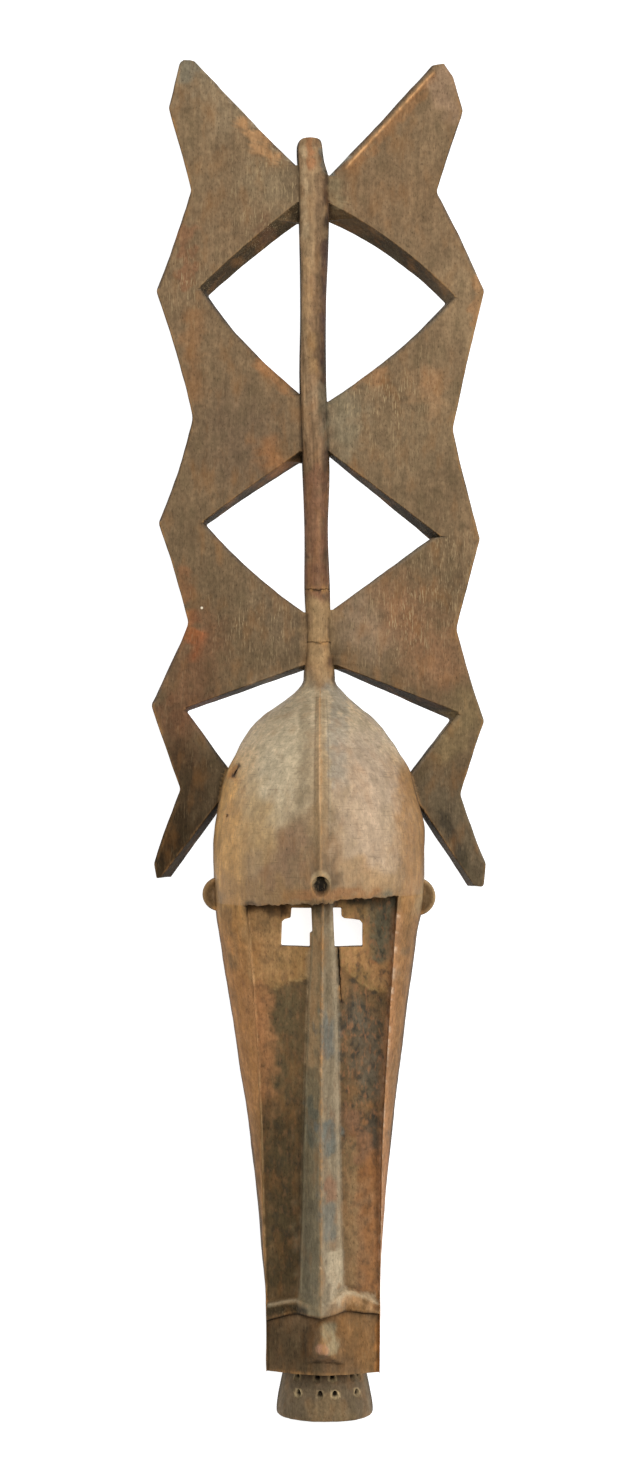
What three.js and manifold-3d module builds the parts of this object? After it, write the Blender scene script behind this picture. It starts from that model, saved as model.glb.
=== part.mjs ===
// Tall wooden face mask of the nwenka kind: a domed head with a long narrow face and a pierced
// board above it, all carved from one block of wood. It lies on its flat back, face up.
// Millimetres. X to the right, Y towards the top of the board, Z out of the face.
import * as THREE from 'three';
import { mergeVertices } from 'three/addons/utils/BufferGeometryUtils.js';
import { ConvexGeometry } from 'three/addons/geometries/ConvexGeometry.js';
import Module from 'manifold-3d';

const wasm = await Module();
wasm.setup();

// Board
const WING_THICKNESS = 28;
const POLE_HEIGHT = 38;
const POLE_OVERLAP_X = -7;
const NOTCH_RADIUS = 30;
const BUMP_RADIUS = 11;
const CUT_RADIUS = 3;

// Head
const NECK_Y = 64;
const HOLLOW_TOP_Y = 22;
const SIDE_HEIGHT = 52;
const RIM_TAPER = 0.975;
const DOME_BAND_START_ANGLE = 0.95;
const FACE_BAND_START_ANGLE = 0.6;
const CAP_END_ANGLE = 0.65;
const KEEL_HALF_WIDTH = 9;
const KEEL_RISE = 5;
const GROOVE_DEPTH = 3;
const GROOVE_LIP = 15;
const KEEL_X = 1.5;
const KEEL_START_Y = 64;
const KEEL_FADE_IN = 60;
const KEEL_END_Y = -158;
const KEEL_FADE_OUT = 12;
const BROW_UNDERCUT = 2;
const FRAME_LEAN = 1.2;
const NOSE_SHOULDER = 0.88;
const NOSE_SHOULDER_RISE = 0.18;
const LEDGE_RISE = 10;
const LEDGE_SWELL = 10;
const LEDGE_SWELL_WIDTH = 24;
const LEDGE_UNDERCUT = 2;
const CHIN_HALF_WIDTH = 68;
const CHIN_TILT = 0.015;
const CHIN_BOTTOM_Y = -737.5;

// Mouth: centre, root oval and the share by which the oval widens downwards
const MOUTH_X = 2.5;
const MOUTH_TOP_Y = -668;
const MOUTH_BOTTOM_Y = -733;
const MOUTH_HALF_WIDTH = 26;
const MOUTH_ROOT_Z = 90;
const MOUTH_SPREAD = 0.22;

// Ears
const EAR_BACK_Z = 46;
const EAR_FRONT_Z = 70;
const EAR_LIP = 4;
const EAR_CUP_DEPTH = 7;

// Collar
const COLLAR_CENTRE_X = 5.5;
const COLLAR_TOP_Y = -722;
const COLLAR_END_Y = -803.5;
const COLLAR_ROUNDNESS = 0.98;
const BORE_LENGTH = 34;
const BORE_WIDE_RADIUS = 5.6;
const BORE_NARROW_RADIUS = 1.6;
// Bores are burned in at this slant, in radians, rising towards the inside
const BORE_LEAN = 0.62;
const FOREHEAD_BORE_LEAN = 0.85;
const UPPER_BORES_Y = -753;
const LOWER_BORES_Y = -772;

// Hollow: how far its cutter reaches below the flat back
const HOLLOW_REACH_Z = -5;

// Value at y of a smooth line through [y, value] stations listed from high y to low y.
function along(stations, y) {
  const last = stations.length - 1;
  if (y >= stations[0][0]) return stations[0][1];
  if (y <= stations[last][0]) return stations[last][1];
  let i = 0;
  while (y < stations[i + 1][0]) i += 1;
  const slope = (k) => {
    const before = stations[Math.max(k - 1, 0)];
    const after = stations[Math.min(k + 1, last)];
    return (after[1] - before[1]) / (after[0] - before[0]);
  };
  const [y0, v0] = stations[i];
  const [y1, v1] = stations[i + 1];
  const span = y1 - y0;
  const t = (y - y0) / span;
  const rise = t * t * (3 - 2 * t);
  return v0 * (1 - rise) + v1 * rise
    + slope(i) * span * t * (1 - t) ** 2
    - slope(i + 1) * span * t * t * (1 - t);
}

const mix = (a, b, t) => a + (b - a) * t;

// Closed body through rows of points. Each row runs from its left foot over the top to its
// right foot, the rows go from high y to low y, and both ends are closed flat.
function loft(rows) {
  const count = rows[0].length;
  const positions = rows.flat(2);
  const index = [];
  for (let i = 0; i + 1 < rows.length; i += 1) {
    for (let j = 0; j < count; j += 1) {
      const k = (j + 1) % count;
      const a = i * count + j;
      const b = i * count + k;
      index.push(a, a + count, b + count, a, b + count, b);
    }
  }
  const flat = (row) => row.map(([x, , z]) => new THREE.Vector2(-x, z));
  for (const tri of THREE.ShapeUtils.triangulateShape(flat(rows[0]), [])) index.push(...tri);
  const end = (rows.length - 1) * count;
  for (const [a, b, c] of THREE.ShapeUtils.triangulateShape(flat(rows.at(-1)), [])) {
    index.push(end + a, end + c, end + b);
  }
  return body(positions, index);
}

function body(positions, index) {
  const geometry = new THREE.BufferGeometry();
  geometry.setAttribute('position', new THREE.Float32BufferAttribute(positions, 3));
  geometry.setIndex(index);
  return geometry;
}

function toManifold(geometry) {
  const clean = geometry.clone();
  clean.deleteAttribute('normal');
  clean.deleteAttribute('uv');
  const merged = mergeVertices(clean, 1e-4);
  return new wasm.Manifold(new wasm.Mesh({
    numProp: 3,
    vertProperties: new Float32Array(merged.attributes.position.array),
    triVerts: new Uint32Array(merged.index.array),
  }));
}

// Board: two wings and the pole between them.

// Points of a polygon whose corners [x, y, radius] are rounded, each by the same number of points.
function rounded(corners) {
  const steps = 4;
  return corners.flatMap(([x, y, radius], i) => {
    if (radius === 0) return [new THREE.Vector2(x, y)];
    const corner = new THREE.Vector2(x, y);
    const before = new THREE.Vector2(...corners.at(i - 1)).sub(corner);
    const after = new THREE.Vector2(...corners[(i + 1) % corners.length]).sub(corner);
    const half = Math.acos(before.dot(after) / before.length() / after.length()) / 2;
    const reach = Math.min(radius / Math.tan(half), 0.45 * before.length(), 0.45 * after.length());
    const start = corner.clone().addScaledVector(before.normalize(), reach);
    const stop = corner.clone().addScaledVector(after.normalize(), reach);
    const bend = new THREE.QuadraticBezierCurve(start, corner, stop);
    return bend.getPoints(steps);
  });
}

// Corners along an edge that sags sideways by the given amount, both ends left out.
function sagging(from, to, sag) {
  if (sag === 0) return [];
  const run = new THREE.Vector2(to[0] - from[0], to[1] - from[1]);
  const side = new THREE.Vector2(-run.y, run.x).normalize();
  return [0.2, 0.4, 0.6, 0.8].map((t) => {
    const off = 4 * sag * t * (1 - t);
    return [from[0] + run.x * t + side.x * off, from[1] + run.y * t + side.y * off, 0];
  });
}

// One wing of the board. Each gap is a triangle with its apex near the outer edge and its open
// side at the pole. The edges above the gaps slant, so that the back outline differs there.
function wing({ outer, tip, tipRoot, tipSag, gaps, headTop, headBottom, foot }) {
  const outline = (face) => {
    const inner = [[...tip, CUT_RADIUS], ...sagging(tip, tipRoot, tipSag), [...tipRoot, 0]];
    inner.push([POLE_OVERLAP_X, tipRoot[1], 0]);
    for (const gap of gaps) {
      const { top, apex } = gap[face];
      const low = gap.bottom;
      const turn = gap[face].turn ?? apex;
      inner.push([POLE_OVERLAP_X, top[1], 0], [...top, 0], ...sagging(top, apex, gap.topSag));
      inner.push([...apex, CUT_RADIUS]);
      if (turn !== apex) inner.push([...turn, CUT_RADIUS]);
      inner.push(...sagging(turn, low, gap.bottomSag), [...low, 0], [POLE_OVERLAP_X, low[1], 0]);
    }
    inner.splice(-2, 2, [...headTop, 0]);
    inner.push([...headBottom[face], 0], [...foot[face], CUT_RADIUS]);
    const rim = outer.flatMap(([x, y, radius, sag = 0], i) => {
      const next = outer[i + 1] ?? tip;
      return [[x, y, radius], ...sagging([x, y], next, sag)];
    });
    return rounded([...inner, ...rim]);
  };
  const front = outline('front');
  const back = outline('back');
  if (THREE.ShapeUtils.area(front) < 0) {
    front.reverse();
    back.reverse();
  }
  const count = front.length;
  const positions = [
    ...front.flatMap((p) => [p.x, p.y, WING_THICKNESS]),
    ...back.flatMap((p) => [p.x, p.y, 0]),
  ];
  const index = [];
  for (const tri of THREE.ShapeUtils.triangulateShape(front, [])) index.push(...tri);
  for (const [a, b, c] of THREE.ShapeUtils.triangulateShape(back, [])) {
    index.push(count + a, count + c, count + b);
  }
  for (let i = 0; i < count; i += 1) {
    const k = (i + 1) % count;
    index.push(count + i, count + k, k, count + i, k, i);
  }
  return body(positions, index);
}

const leftWing = wing({
  tip: [-148, 798],
  tipRoot: [-28, 674],
  tipSag: -1.5,
  gaps: [
    {
      front: { top: [-25.5, 630.5], apex: [-141.5, 530] },
      back: { top: [-27.5, 609], apex: [-133, 523.5] },
      bottom: [-23, 403.5],
      topSag: -2,
      bottomSag: -6,
    },
    {
      front: { top: [-22.5, 336.5], apex: [-138, 253] },
      back: { top: [-25, 324.5], apex: [-135.5, 251] },
      bottom: [-19, 146.5],
      topSag: -1,
      bottomSag: -5,
    },
    {
      front: { top: [-13, 86], apex: [-160, 33] },
      back: { top: [-18, 79], apex: [-158.5, 29.5] },
      bottom: [-104.5, -43.5],
      topSag: 0,
      bottomSag: 0,
    },
  ],
  headTop: [-100, -60],
  headBottom: { front: [-112, -68], back: [-112, -77] },
  foot: { front: [-187.5, -166.5], back: [-177.5, -168] },
  outer: [
    [-193, -168, CUT_RADIUS],
    [-196, -150, BUMP_RADIUS, 1],
    [-165, -62, NOTCH_RADIUS, 0.5],
    [-199, 37, BUMP_RADIUS, -0.5],
    [-155, 134, NOTCH_RADIUS, -1],
    [-190.5, 252, BUMP_RADIUS, -2.5],
    [-150, 376, NOTCH_RADIUS, -2.5],
    [-193.5, 526, BUMP_RADIUS, -1.5],
    [-152, 645, NOTCH_RADIUS, -0.5],
    [-178.5, 742, BUMP_RADIUS],
    [-165, 798.5, 2 * CUT_RADIUS],
  ],
});

const rightWing = wing({
  tip: [132, 792],
  tipRoot: [11, 662],
  tipSag: 1,
  gaps: [
    {
      front: { top: [5.5, 632], apex: [159, 519] },
      back: { top: [10.5, 611.5], apex: [149.5, 514.5] },
      bottom: [9, 395],
      topSag: 8,
      bottomSag: 6,
    },
    {
      front: { top: [5.5, 339.5], apex: [142.5, 234], turn: [132, 236] },
      back: { top: [12, 331.5], apex: [132, 233], turn: [131, 232] },
      bottom: [15, 149.5],
      topSag: 0,
      bottomSag: 0,
    },
    {
      front: { top: [17.5, 84.5], apex: [164.5, 28] },
      back: { top: [19, 79.5], apex: [155, 20] },
      bottom: [104, -46.5],
      topSag: 0,
      bottomSag: 0,
    },
  ],
  headTop: [100, -60],
  headBottom: { front: [112, -72], back: [112, -81] },
  foot: { front: [181, -176], back: [176, -178] },
  outer: [
    [193, -178.5, CUT_RADIUS],
    [196, -150, BUMP_RADIUS, 1.5],
    [166, -68, NOTCH_RADIUS, 0.5],
    [193.5, 18, BUMP_RADIUS, 1],
    [161, 127, NOTCH_RADIUS, 0.5],
    [189, 233, BUMP_RADIUS, 1],
    [156.5, 363, NOTCH_RADIUS, 0.5],
    [194, 526, BUMP_RADIUS, -1.5],
    [137.5, 643, NOTCH_RADIUS, 0.5],
    [168.5, 738, BUMP_RADIUS],
    [157.5, 780, BUMP_RADIUS],
    [147, 794.5, CUT_RADIUS],
  ],
});

// Edges of the pole, seen from the front, as [y, x]
const poleLeft = [
  [706, -24], [697, -27.5], [677, -27], [596, -25], [516, -23.5], [421, -24.5], [315, -21],
  [244, -18.5], [173, -18.5], [114, -16], [74, -19], [50, -19],
];
const poleRight = [
  [706, 1], [699, 2.5], [680, 5], [658, 10.5], [596, 10.5], [516, 7.5], [421, 7.5], [315, 11.5],
  [244, 9.5], [173, 12], [114, 13], [74, 17.5], [50, 17.5],
];

function pole() {
  const rowYs = [706, 702, 697, 680, 658, 630, 596, 556, 516, 468, 421, 368, 315, 280, 244, 208];
  rowYs.push(173, 144, 114, 94, 74, 50);
  const arcSteps = 8;
  const rows = rowYs.map((y) => {
    const left = along(poleLeft, y);
    const right = along(poleRight, y);
    const height = POLE_HEIGHT - Math.max(y - 696, 0) * 0.5;
    const sideHeight = 0.45 * height;
    const row = [[left, y, 0]];
    for (let i = 0; i <= arcSteps; i += 1) {
      const angle = (Math.PI * i) / arcSteps;
      const across = Math.cos(angle);
      const up = Math.sin(angle) ** 0.7;
      row.push([mix(right, left, (1 + across) / 2), y, mix(sideHeight, height, up)]);
    }
    row.push([right, y, 0]);
    return row;
  });
  return loft(rows);
}

// Head: dome, recessed face, ledge and chin, as rows of lines drawn across it.

const headLeft = [
  [NECK_Y, -20], [54, -28], [48, -35], [36, -51.5], [25, -66], [13, -78.5], [1, -87], [-10, -94],
  [-22, -99.5], [-40, -109], [-63, -115.5], [-104, -123], [-130, -125], [-165, -124.5],
  [-209, -122], [-227, -119.5], [-250, -115.5], [-276, -111.5], [-318, -104.5], [-374, -96],
  [-430, -87], [-486, -79.5], [-542, -73.5], [-598, -68.5], [-655, -63.5], [-736, -62.5],
];
const headRight = [
  [NECK_Y, 18], [54, 26], [48, 31.5], [36, 46], [25, 59], [13, 70.5], [1, 79.5], [-10, 87.5],
  [-22, 94.5], [-40, 105.5], [-63, 111.5], [-104, 122], [-130, 122.5], [-165, 122.5],
  [-200, 120.5], [-212, 118], [-227, 114.5], [-250, 111.5], [-276, 108], [-318, 102],
  [-374, 95], [-430, 88], [-486, 82], [-542, 76.5], [-598, 72.5], [-655, 70.5], [-736, 70],
];
const domeHeight = [
  [NECK_Y, 37], [54, 45], [42, 62], [25, 90], [5, 117], [-20, 140], [-55, 163], [-95, 178],
  [-135, 186], [-170, 187], [-195, 184],
];
const domeEdgeHeight = [
  [NECK_Y, 28], [54, 33], [42, 44], [25, 63], [5, 83], [-20, 102], [-55, 121], [-95, 133],
  [-135, 139], [-170, 140], [-195, 138],
];
// Share of the half width that the cap takes, the rest being the side band
const capShareLeft = [[NECK_Y, 0.72], [-191, 0.69]];
const capShareRight = [[NECK_Y, 0.72], [-184, 0.73]];

// Face below the brow
const frameLeft = [[-191, -84], [-330, -74], [-460, -67.5], [-560, -65], [-655, -61]];
const frameRight = [[-184, 88], [-330, 78.5], [-460, 71.5], [-560, 69.5], [-655, 68]];
const frameHeight = [[-191, 138], [-250, 130], [-350, 118], [-460, 107], [-560, 97], [-650, 89]];
const floorOuter = [[-191, 103], [-460, 95], [-650, 86]];
const floorInner = [[-191, 105], [-460, 101], [-650, 97]];
const noseLeft = [[-191, -8], [-300, -14], [-420, -18.5], [-580, -23], [-650, -26]];
const noseRight = [[-184, 15], [-300, 20.5], [-420, 22.5], [-580, 26], [-650, 30]];
const noseCrest = [[-184, 3], [-420, 1.2], [-650, 0.8]];
const noseHeight = [[-184, 124], [-420, 128], [-660, 133]];

// Lines drawn across the front, as [x, y] from right to left
const browLine = [[88, -183], [23, -184], [8, -190], [-22, -190], [-84, -193.5]];
const ledgeTop = [
  [69, -657.5], [32, -641], [14, -650], [0.8, -656], [-14, -654], [-29, -651], [-61, -659],
];
const ledgeEdge = [
  [69, -669], [51, -667], [30, -663.5], [14, -666], [0.8, -667.5], [-12, -667], [-28, -666.5],
  [-61, -677],
];

// Levels of the straight rows. Below the last one of the dome the rows bend towards the brow.
const domeRows = [NECK_Y, 54, 47, 40, 33, 25, 16, 6, -5, -18, -33, -50, -70, -95, -120, -145];
const faceRows = [-215, -250, -300, -350, -400, -450, -500, -550, -600, -635];
// Rows of the chin as [share of the way down, rise of its middle, height of its crest]
const chinRows = [[0, 11, 108], [0.5, 13, 111], [1, 15, 113]];

const capSteps = 5;
const bandSteps = 5;

// Side of the head from the band edge down to the back rim
function bandPoints(edgeX, edgeZ, sideX, y, startAngle) {
  const points = [];
  const sideZ = Math.min(SIDE_HEIGHT, 0.5 * edgeZ);
  const firstSin = Math.sin(startAngle);
  const firstCos = Math.cos(startAngle);
  for (let i = 0; i <= bandSteps; i += 1) {
    const angle = mix(startAngle, Math.PI / 2, i / bandSteps);
    const out = (Math.sin(angle) - firstSin) / (1 - firstSin);
    const up = Math.cos(angle) / firstCos;
    points.push([mix(edgeX, sideX, out), y(mix(edgeX, sideX, out)), mix(sideZ, edgeZ, up)]);
  }
  points.push([sideX * RIM_TAPER, y(sideX), 0]);
  return points;
}

// Half of a line across the dome, from the middle out
function domeHalf(side, sideX, y) {
  const height = along(domeHeight, y(0));
  const keel = THREE.MathUtils.smoothstep(-y(0), -KEEL_START_Y, -KEEL_START_Y + KEEL_FADE_IN)
    * (1 - THREE.MathUtils.smoothstep(-y(0), -KEEL_END_Y, -KEEL_END_Y + KEEL_FADE_OUT));
  const edgeX = sideX * along(side < 0 ? capShareLeft : capShareRight, y(0));
  const edgeZ = along(domeEdgeHeight, y(0));
  const narrow = Math.min(1, Math.abs(edgeX) / 60);
  const cap = (x) => {
    const angle = Math.asin(Math.min(1, Math.abs(x / edgeX)) * Math.sin(CAP_END_ANGLE));
    const up = (Math.cos(angle) - Math.cos(CAP_END_ANGLE)) / (1 - Math.cos(CAP_END_ANGLE));
    return mix(edgeZ, height, up);
  };
  const point = (x, lift) => [x, y(x), cap(x) + lift];
  const flank = (KEEL_X + side * 0.5 * KEEL_HALF_WIDTH) * narrow;
  const foot = (KEEL_X + side * KEEL_HALF_WIDTH) * narrow;
  const lip = (KEEL_X + side * GROOVE_LIP) * narrow;
  const points = [
    point(flank, 0.5 * (KEEL_RISE - GROOVE_DEPTH) * keel),
    point(foot, -GROOVE_DEPTH * keel),
    point(lip, 0),
  ];
  for (let i = 1; i <= capSteps; i += 1) points.push(point(mix(lip, edgeX, i / (capSteps + 0.15)), 0));
  points.push(...bandPoints(edgeX, edgeZ, sideX, y, DOME_BAND_START_ANGLE));
  return { points, crest: height + KEEL_RISE * keel };
}

function domeRow(y) {
  const left = domeHalf(-1, along(headLeft, y(-100)), y);
  const right = domeHalf(1, along(headRight, y(100)), y);
  const crest = [KEEL_X, y(KEEL_X), Math.max(left.crest, right.crest)];
  return [...left.points.reverse(), crest, ...right.points];
}

// Half of a line across the face, from the shoulder of the nose out
function faceHalf(stations, y, lift, crest) {
  const { crestX, noseX, edgeX, sideX } = stations;
  const inner = along(floorInner, y(noseX));
  const outer = along(floorOuter, y(edgeX));
  const foot = inner + lift(noseX);
  const shoulderX = mix(crestX, noseX, NOSE_SHOULDER);
  const points = [
    [shoulderX, y(shoulderX), mix(foot, crest, NOSE_SHOULDER_RISE)],
    [noseX, y(noseX), foot],
  ];
  const lip = noseX + Math.sign(noseX) * 4;
  for (let i = 0; i <= capSteps; i += 1) {
    const t = i / capSteps;
    const x = mix(lip, edgeX, t);
    points.push([x, y(x), mix(inner, outer, t) + lift(x)]);
  }
  const edgeZ = Math.max(along(frameHeight, y(edgeX)), outer + lift(edgeX) + 0.6);
  const frameX = edgeX + Math.sign(edgeX) * FRAME_LEAN;
  return [...points, ...bandPoints(frameX, edgeZ, sideX, y, FACE_BAND_START_ANGLE)];
}

function faceRow(y, lift = () => 0, crest = along(noseHeight, y(0))) {
  const crestX = along(noseCrest, y(0));
  const left = faceHalf({
    crestX,
    noseX: along(noseLeft, y(-20)),
    edgeX: along(frameLeft, y(-70)),
    sideX: along(headLeft, y(-70)),
  }, y, lift, crest);
  const right = faceHalf({
    crestX,
    noseX: along(noseRight, y(20)),
    edgeX: along(frameRight, y(70)),
    sideX: along(headRight, y(70)),
  }, y, lift, crest);
  return [...left.reverse(), [crestX, y(crestX), crest], ...right];
}

const level = (value) => () => value;
const line = (stations, shift = 0) => (x) => along(stations, x) + shift;
const between = (upper, lower, t) => (x) => mix(upper(x), lower(x), t);

// Lift of the ledge above the face: a low band at the sides that swells towards the nose
const ledgeLift = (x) => LEDGE_RISE
  + LEDGE_SWELL * Math.exp(-(((x - MOUTH_X) / LEDGE_SWELL_WIDTH) ** 2));
// The chin is a blunt prow: highest in the middle, falling to the side corners
const CHIN_SET_BACK = 2;
const chinLift = (rise) => (x) => rise * (1 - Math.abs(x - MOUTH_X) / CHIN_HALF_WIDTH) - CHIN_SET_BACK;

function head() {
  const brow = line(browLine);
  const edge = line(ledgeEdge);
  const chinEnd = (x) => CHIN_BOTTOM_Y - CHIN_TILT * (x - MOUTH_X);
  const rows = domeRows.map((y) => domeRow(level(y)));
  for (const t of [0.4, 0.75, 1]) rows.push(domeRow(between(level(domeRows.at(-1)), brow, t)));
  rows.push(faceRow(line(browLine, -BROW_UNDERCUT)));
  rows.push(...faceRows.map((y) => faceRow(level(y))));
  rows.push(faceRow(line(ledgeTop, 3), () => 1));
  rows.push(faceRow(line(ledgeTop, -2), ledgeLift));
  rows.push(faceRow(edge, ledgeLift));
  const under = line(ledgeEdge, -LEDGE_UNDERCUT);
  for (const [t, rise, crest] of chinRows) {
    rows.push(faceRow(between(under, chinEnd, t), chinLift(rise), crest));
  }
  return loft(rows);
}

// Raised mouth: a short blunt pyramid on a sunk oval root, its worn tip low down
function mouth() {
  const steps = 12;
  const points = [
    [MOUTH_X - 1, -682, 111],
    [MOUTH_X - 1, -693, 122],
    [MOUTH_X + 3, -704, 130],
    [MOUTH_X - 5, -706, 127],
    [MOUTH_X + 3, -711, 126],
  ].map((p) => new THREE.Vector3(...p));
  for (let i = 0; i < steps; i += 1) {
    const angle = (2 * Math.PI * i) / steps;
    const x = MOUTH_X + MOUTH_HALF_WIDTH * Math.sin(angle) * (1 - MOUTH_SPREAD * Math.cos(angle));
    const y = mix(MOUTH_BOTTOM_Y, MOUTH_TOP_Y, (1 + Math.cos(angle)) / 2);
    points.push(new THREE.Vector3(x, y, MOUTH_ROOT_Z));
  }
  return new ConvexGeometry(points);
}

// Ear: a cupped disc half sunk in the side of the head
function ear(x, y, radius) {
  const profile = [
    [0, EAR_BACK_Z], [radius - EAR_LIP, EAR_BACK_Z], [radius, EAR_BACK_Z + EAR_LIP],
    [radius, EAR_FRONT_Z - EAR_LIP / 2], [radius - EAR_LIP / 2, EAR_FRONT_Z],
    [radius - EAR_LIP, EAR_FRONT_Z], [radius - 2 * EAR_LIP, EAR_FRONT_Z - EAR_CUP_DEPTH],
    [0, EAR_FRONT_Z - EAR_CUP_DEPTH],
  ].map(([r, z]) => new THREE.Vector2(r, z));
  return new THREE.LatheGeometry(profile, 20).rotateX(Math.PI / 2).translate(x, y, 0);
}

// Hollow: a trough open at the back, from the dome down through the collar, as [y, value].

const hollowLeft = [
  [HOLLOW_TOP_Y, -22], [15, -48], [5, -66], [-10, -78], [-30, -89], [-60, -99], [-104, -106],
  [-165, -107], [-209, -104], [-276, -94], [-374, -79], [-486, -63.5], [-598, -53],
  [-690, -47], [-728, -35.5], [-760, -34.5], [-808, -40],
];
const hollowRight = [
  [HOLLOW_TOP_Y, 20], [15, 43], [5, 60], [-10, 72], [-30, 85], [-60, 96], [-104, 105],
  [-165, 105.5], [-209, 103], [-276, 91], [-374, 78.5], [-486, 66], [-598, 57],
  [-690, 53], [-728, 45.5], [-760, 45.5], [-808, 51],
];
const hollowHeight = [
  [HOLLOW_TOP_Y, 20], [15, 52], [5, 80], [-10, 108], [-30, 130], [-60, 148], [-104, 164],
  [-150, 171], [-172, 170], [-178, 150], [-184, 98], [-196, 88], [-460, 80], [-600, 73],
  [-690, 62], [-728, 40], [-760, 40], [-808, 45],
];

function hollow() {
  const rowYs = [22, 15, 5, -10, -30, -60, -104, -140, -165, -172, -178, -184, -196, -240];
  rowYs.push(-300, -374, -430, -486, -542, -598, -650, -690, -710, -728, -760, -808);
  const arcSteps = 16;
  const rows = rowYs.map((y) => {
    const left = along(hollowLeft, y);
    const right = along(hollowRight, y);
    const height = along(hollowHeight, y);
    const row = [[left, y, HOLLOW_REACH_Z]];
    for (let i = 0; i <= arcSteps; i += 1) {
      const angle = (Math.PI * i) / arcSteps;
      const across = Math.sign(Math.cos(angle)) * Math.abs(Math.cos(angle)) ** 0.85;
      row.push([mix(right, left, (1 + across) / 2), y, height * Math.sin(angle) ** 0.75]);
    }
    row.push([right, y, HOLLOW_REACH_Z]);
    return row;
  });
  return loft(rows);
}

// Collar: a half tube below the chin with two rows of tying holes.

const collarRadius = [
  [COLLAR_TOP_Y, 46.5], [-745, 47.5], [-758, 50.5], [-775, 54], [-794, 56.5], [COLLAR_END_Y, 55],
];

function collar() {
  const rowYs = [COLLAR_TOP_Y, -745, -758, -775, -794, -800, COLLAR_END_Y];
  const arcSteps = 22;
  return loft(rowYs.map((y) => {
    const radius = along(collarRadius, y);
    const row = [];
    for (let i = 0; i <= arcSteps; i += 1) {
      const angle = (Math.PI * i) / arcSteps;
      const z = COLLAR_ROUNDNESS * radius * Math.sin(angle);
      row.push([COLLAR_CENTRE_X - radius * Math.cos(angle), y, z]);
    }
    return row;
  }));
}

// Tapered bore through the collar wall, leaning upwards, at an angle from straight up
function collarHole(y, degrees) {
  const bore = new THREE.CylinderGeometry(BORE_WIDE_RADIUS, BORE_NARROW_RADIUS, BORE_LENGTH, 8);
  bore.rotateX(Math.PI / 2 + BORE_LEAN);
  bore.translate(0, y, along(collarRadius, y));
  bore.rotateY(THREE.MathUtils.degToRad(degrees));
  return bore.translate(COLLAR_CENTRE_X, 0, 0);
}

const upperHoles = [-42, -10.5, 11, 42, 55];
const lowerHoles = [-36.5, -6, 13.5, 46];

// Straight cut through the face along an outline given by [x, y] corners
function faceCut(corners) {
  const FROM_Z = 40;
  const DEPTH = 110;
  const shape = new THREE.Shape(corners.map(([x, y]) => new THREE.Vector2(x, y)));
  return new THREE.ExtrudeGeometry(shape, { depth: DEPTH, bevelEnabled: false })
    .translate(0, 0, FROM_Z);
}

// Eye openings, with the steps and chips of their edges
const leftEye = faceCut([
  [-33, -198], [-10, -198], [-9, -226], [-12, -228], [-12, -243.5], [-45, -242.5], [-44, -214],
  [-41, -211], [-34, -209],
]);
const rightEye = faceCut([
  [15, -198], [24.5, -198], [25, -208], [28, -210], [46, -212], [49.5, -216], [49, -243],
  [17, -243.5],
]);

// Hole above the brow, at the foot of the keel
const foreheadHole = new THREE.CylinderGeometry(8.5, 4, 60, 12)
  .rotateX(Math.PI / 2 + FOREHEAD_BORE_LEAN)
  .translate(0, -163.5, 186);

const joined = [
  head(), mouth(), ear(-117, -184.5, 20), ear(113, -187.5, 22), pole(), leftWing, rightWing, collar(),
].map(toManifold).reduce((whole, piece) => whole.add(piece));
const cuts = [
  hollow(), leftEye, rightEye, foreheadHole,
  ...upperHoles.map((degrees) => collarHole(UPPER_BORES_Y, degrees)),
  ...lowerHoles.map((degrees) => collarHole(LOWER_BORES_Y, degrees)),
].map(toManifold);
const carved = cuts.reduce((whole, cut) => whole.subtract(cut), joined);

const result = carved.getMesh();
const carvedGeometry = body(Array.from(result.vertProperties), Array.from(result.triVerts));
const carvedWood = new THREE.MeshStandardMaterial({ color: '#6b5138', roughness: 0.7, metalness: 0 });
const mask = new THREE.Mesh(carvedGeometry, carvedWood);
mask.name = 'nwenka_mask';

const group = new THREE.Group();
group.name = 'nwenka_mask_object';
group.add(mask);

export default group;
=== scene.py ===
"""Looks of a tall carved wooden face mask lying face up on a white light table.

Metres, with the part's own frame: +Y towards the top of the board, +Z out of the face.
"""

import math

import bpy
import numpy as np
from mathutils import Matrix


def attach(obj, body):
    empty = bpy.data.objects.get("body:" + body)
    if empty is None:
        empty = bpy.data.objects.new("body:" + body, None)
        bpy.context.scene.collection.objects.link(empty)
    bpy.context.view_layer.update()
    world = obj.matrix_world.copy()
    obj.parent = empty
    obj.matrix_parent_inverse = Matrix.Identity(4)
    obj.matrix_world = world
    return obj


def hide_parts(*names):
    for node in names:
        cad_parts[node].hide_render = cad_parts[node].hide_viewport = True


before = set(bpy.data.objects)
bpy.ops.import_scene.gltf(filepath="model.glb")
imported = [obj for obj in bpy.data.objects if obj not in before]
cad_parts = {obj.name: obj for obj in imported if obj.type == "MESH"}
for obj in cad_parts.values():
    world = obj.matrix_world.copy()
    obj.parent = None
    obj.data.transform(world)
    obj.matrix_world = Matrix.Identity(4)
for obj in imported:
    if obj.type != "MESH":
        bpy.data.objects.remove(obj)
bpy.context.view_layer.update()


# Mask: one block of seasoned wood, carved with adze and knife into a domed head, a long
# recessed face, a collar and a pierced board with a pole down its middle. The back is hollow
# from the dome to the collar. Handling has worn the high edges back to bare orange wood.

# Sizes in millimetres, angles in radians
WING_THICKNESS = 28.0
NOTCH_RADIUS = 30.0
BUMP_RADIUS = 11.0
CUT_RADIUS = 3.0
EDGE_ROUND = 1.4
CHAMFER = 5.5

POLE_X = -7.0
POLE_TOP_Y = 706.0
POLE_HEIGHT = 38.0
POLE_SIDE_SHARE = 0.45
POLE_BULGE = 0.7

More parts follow.
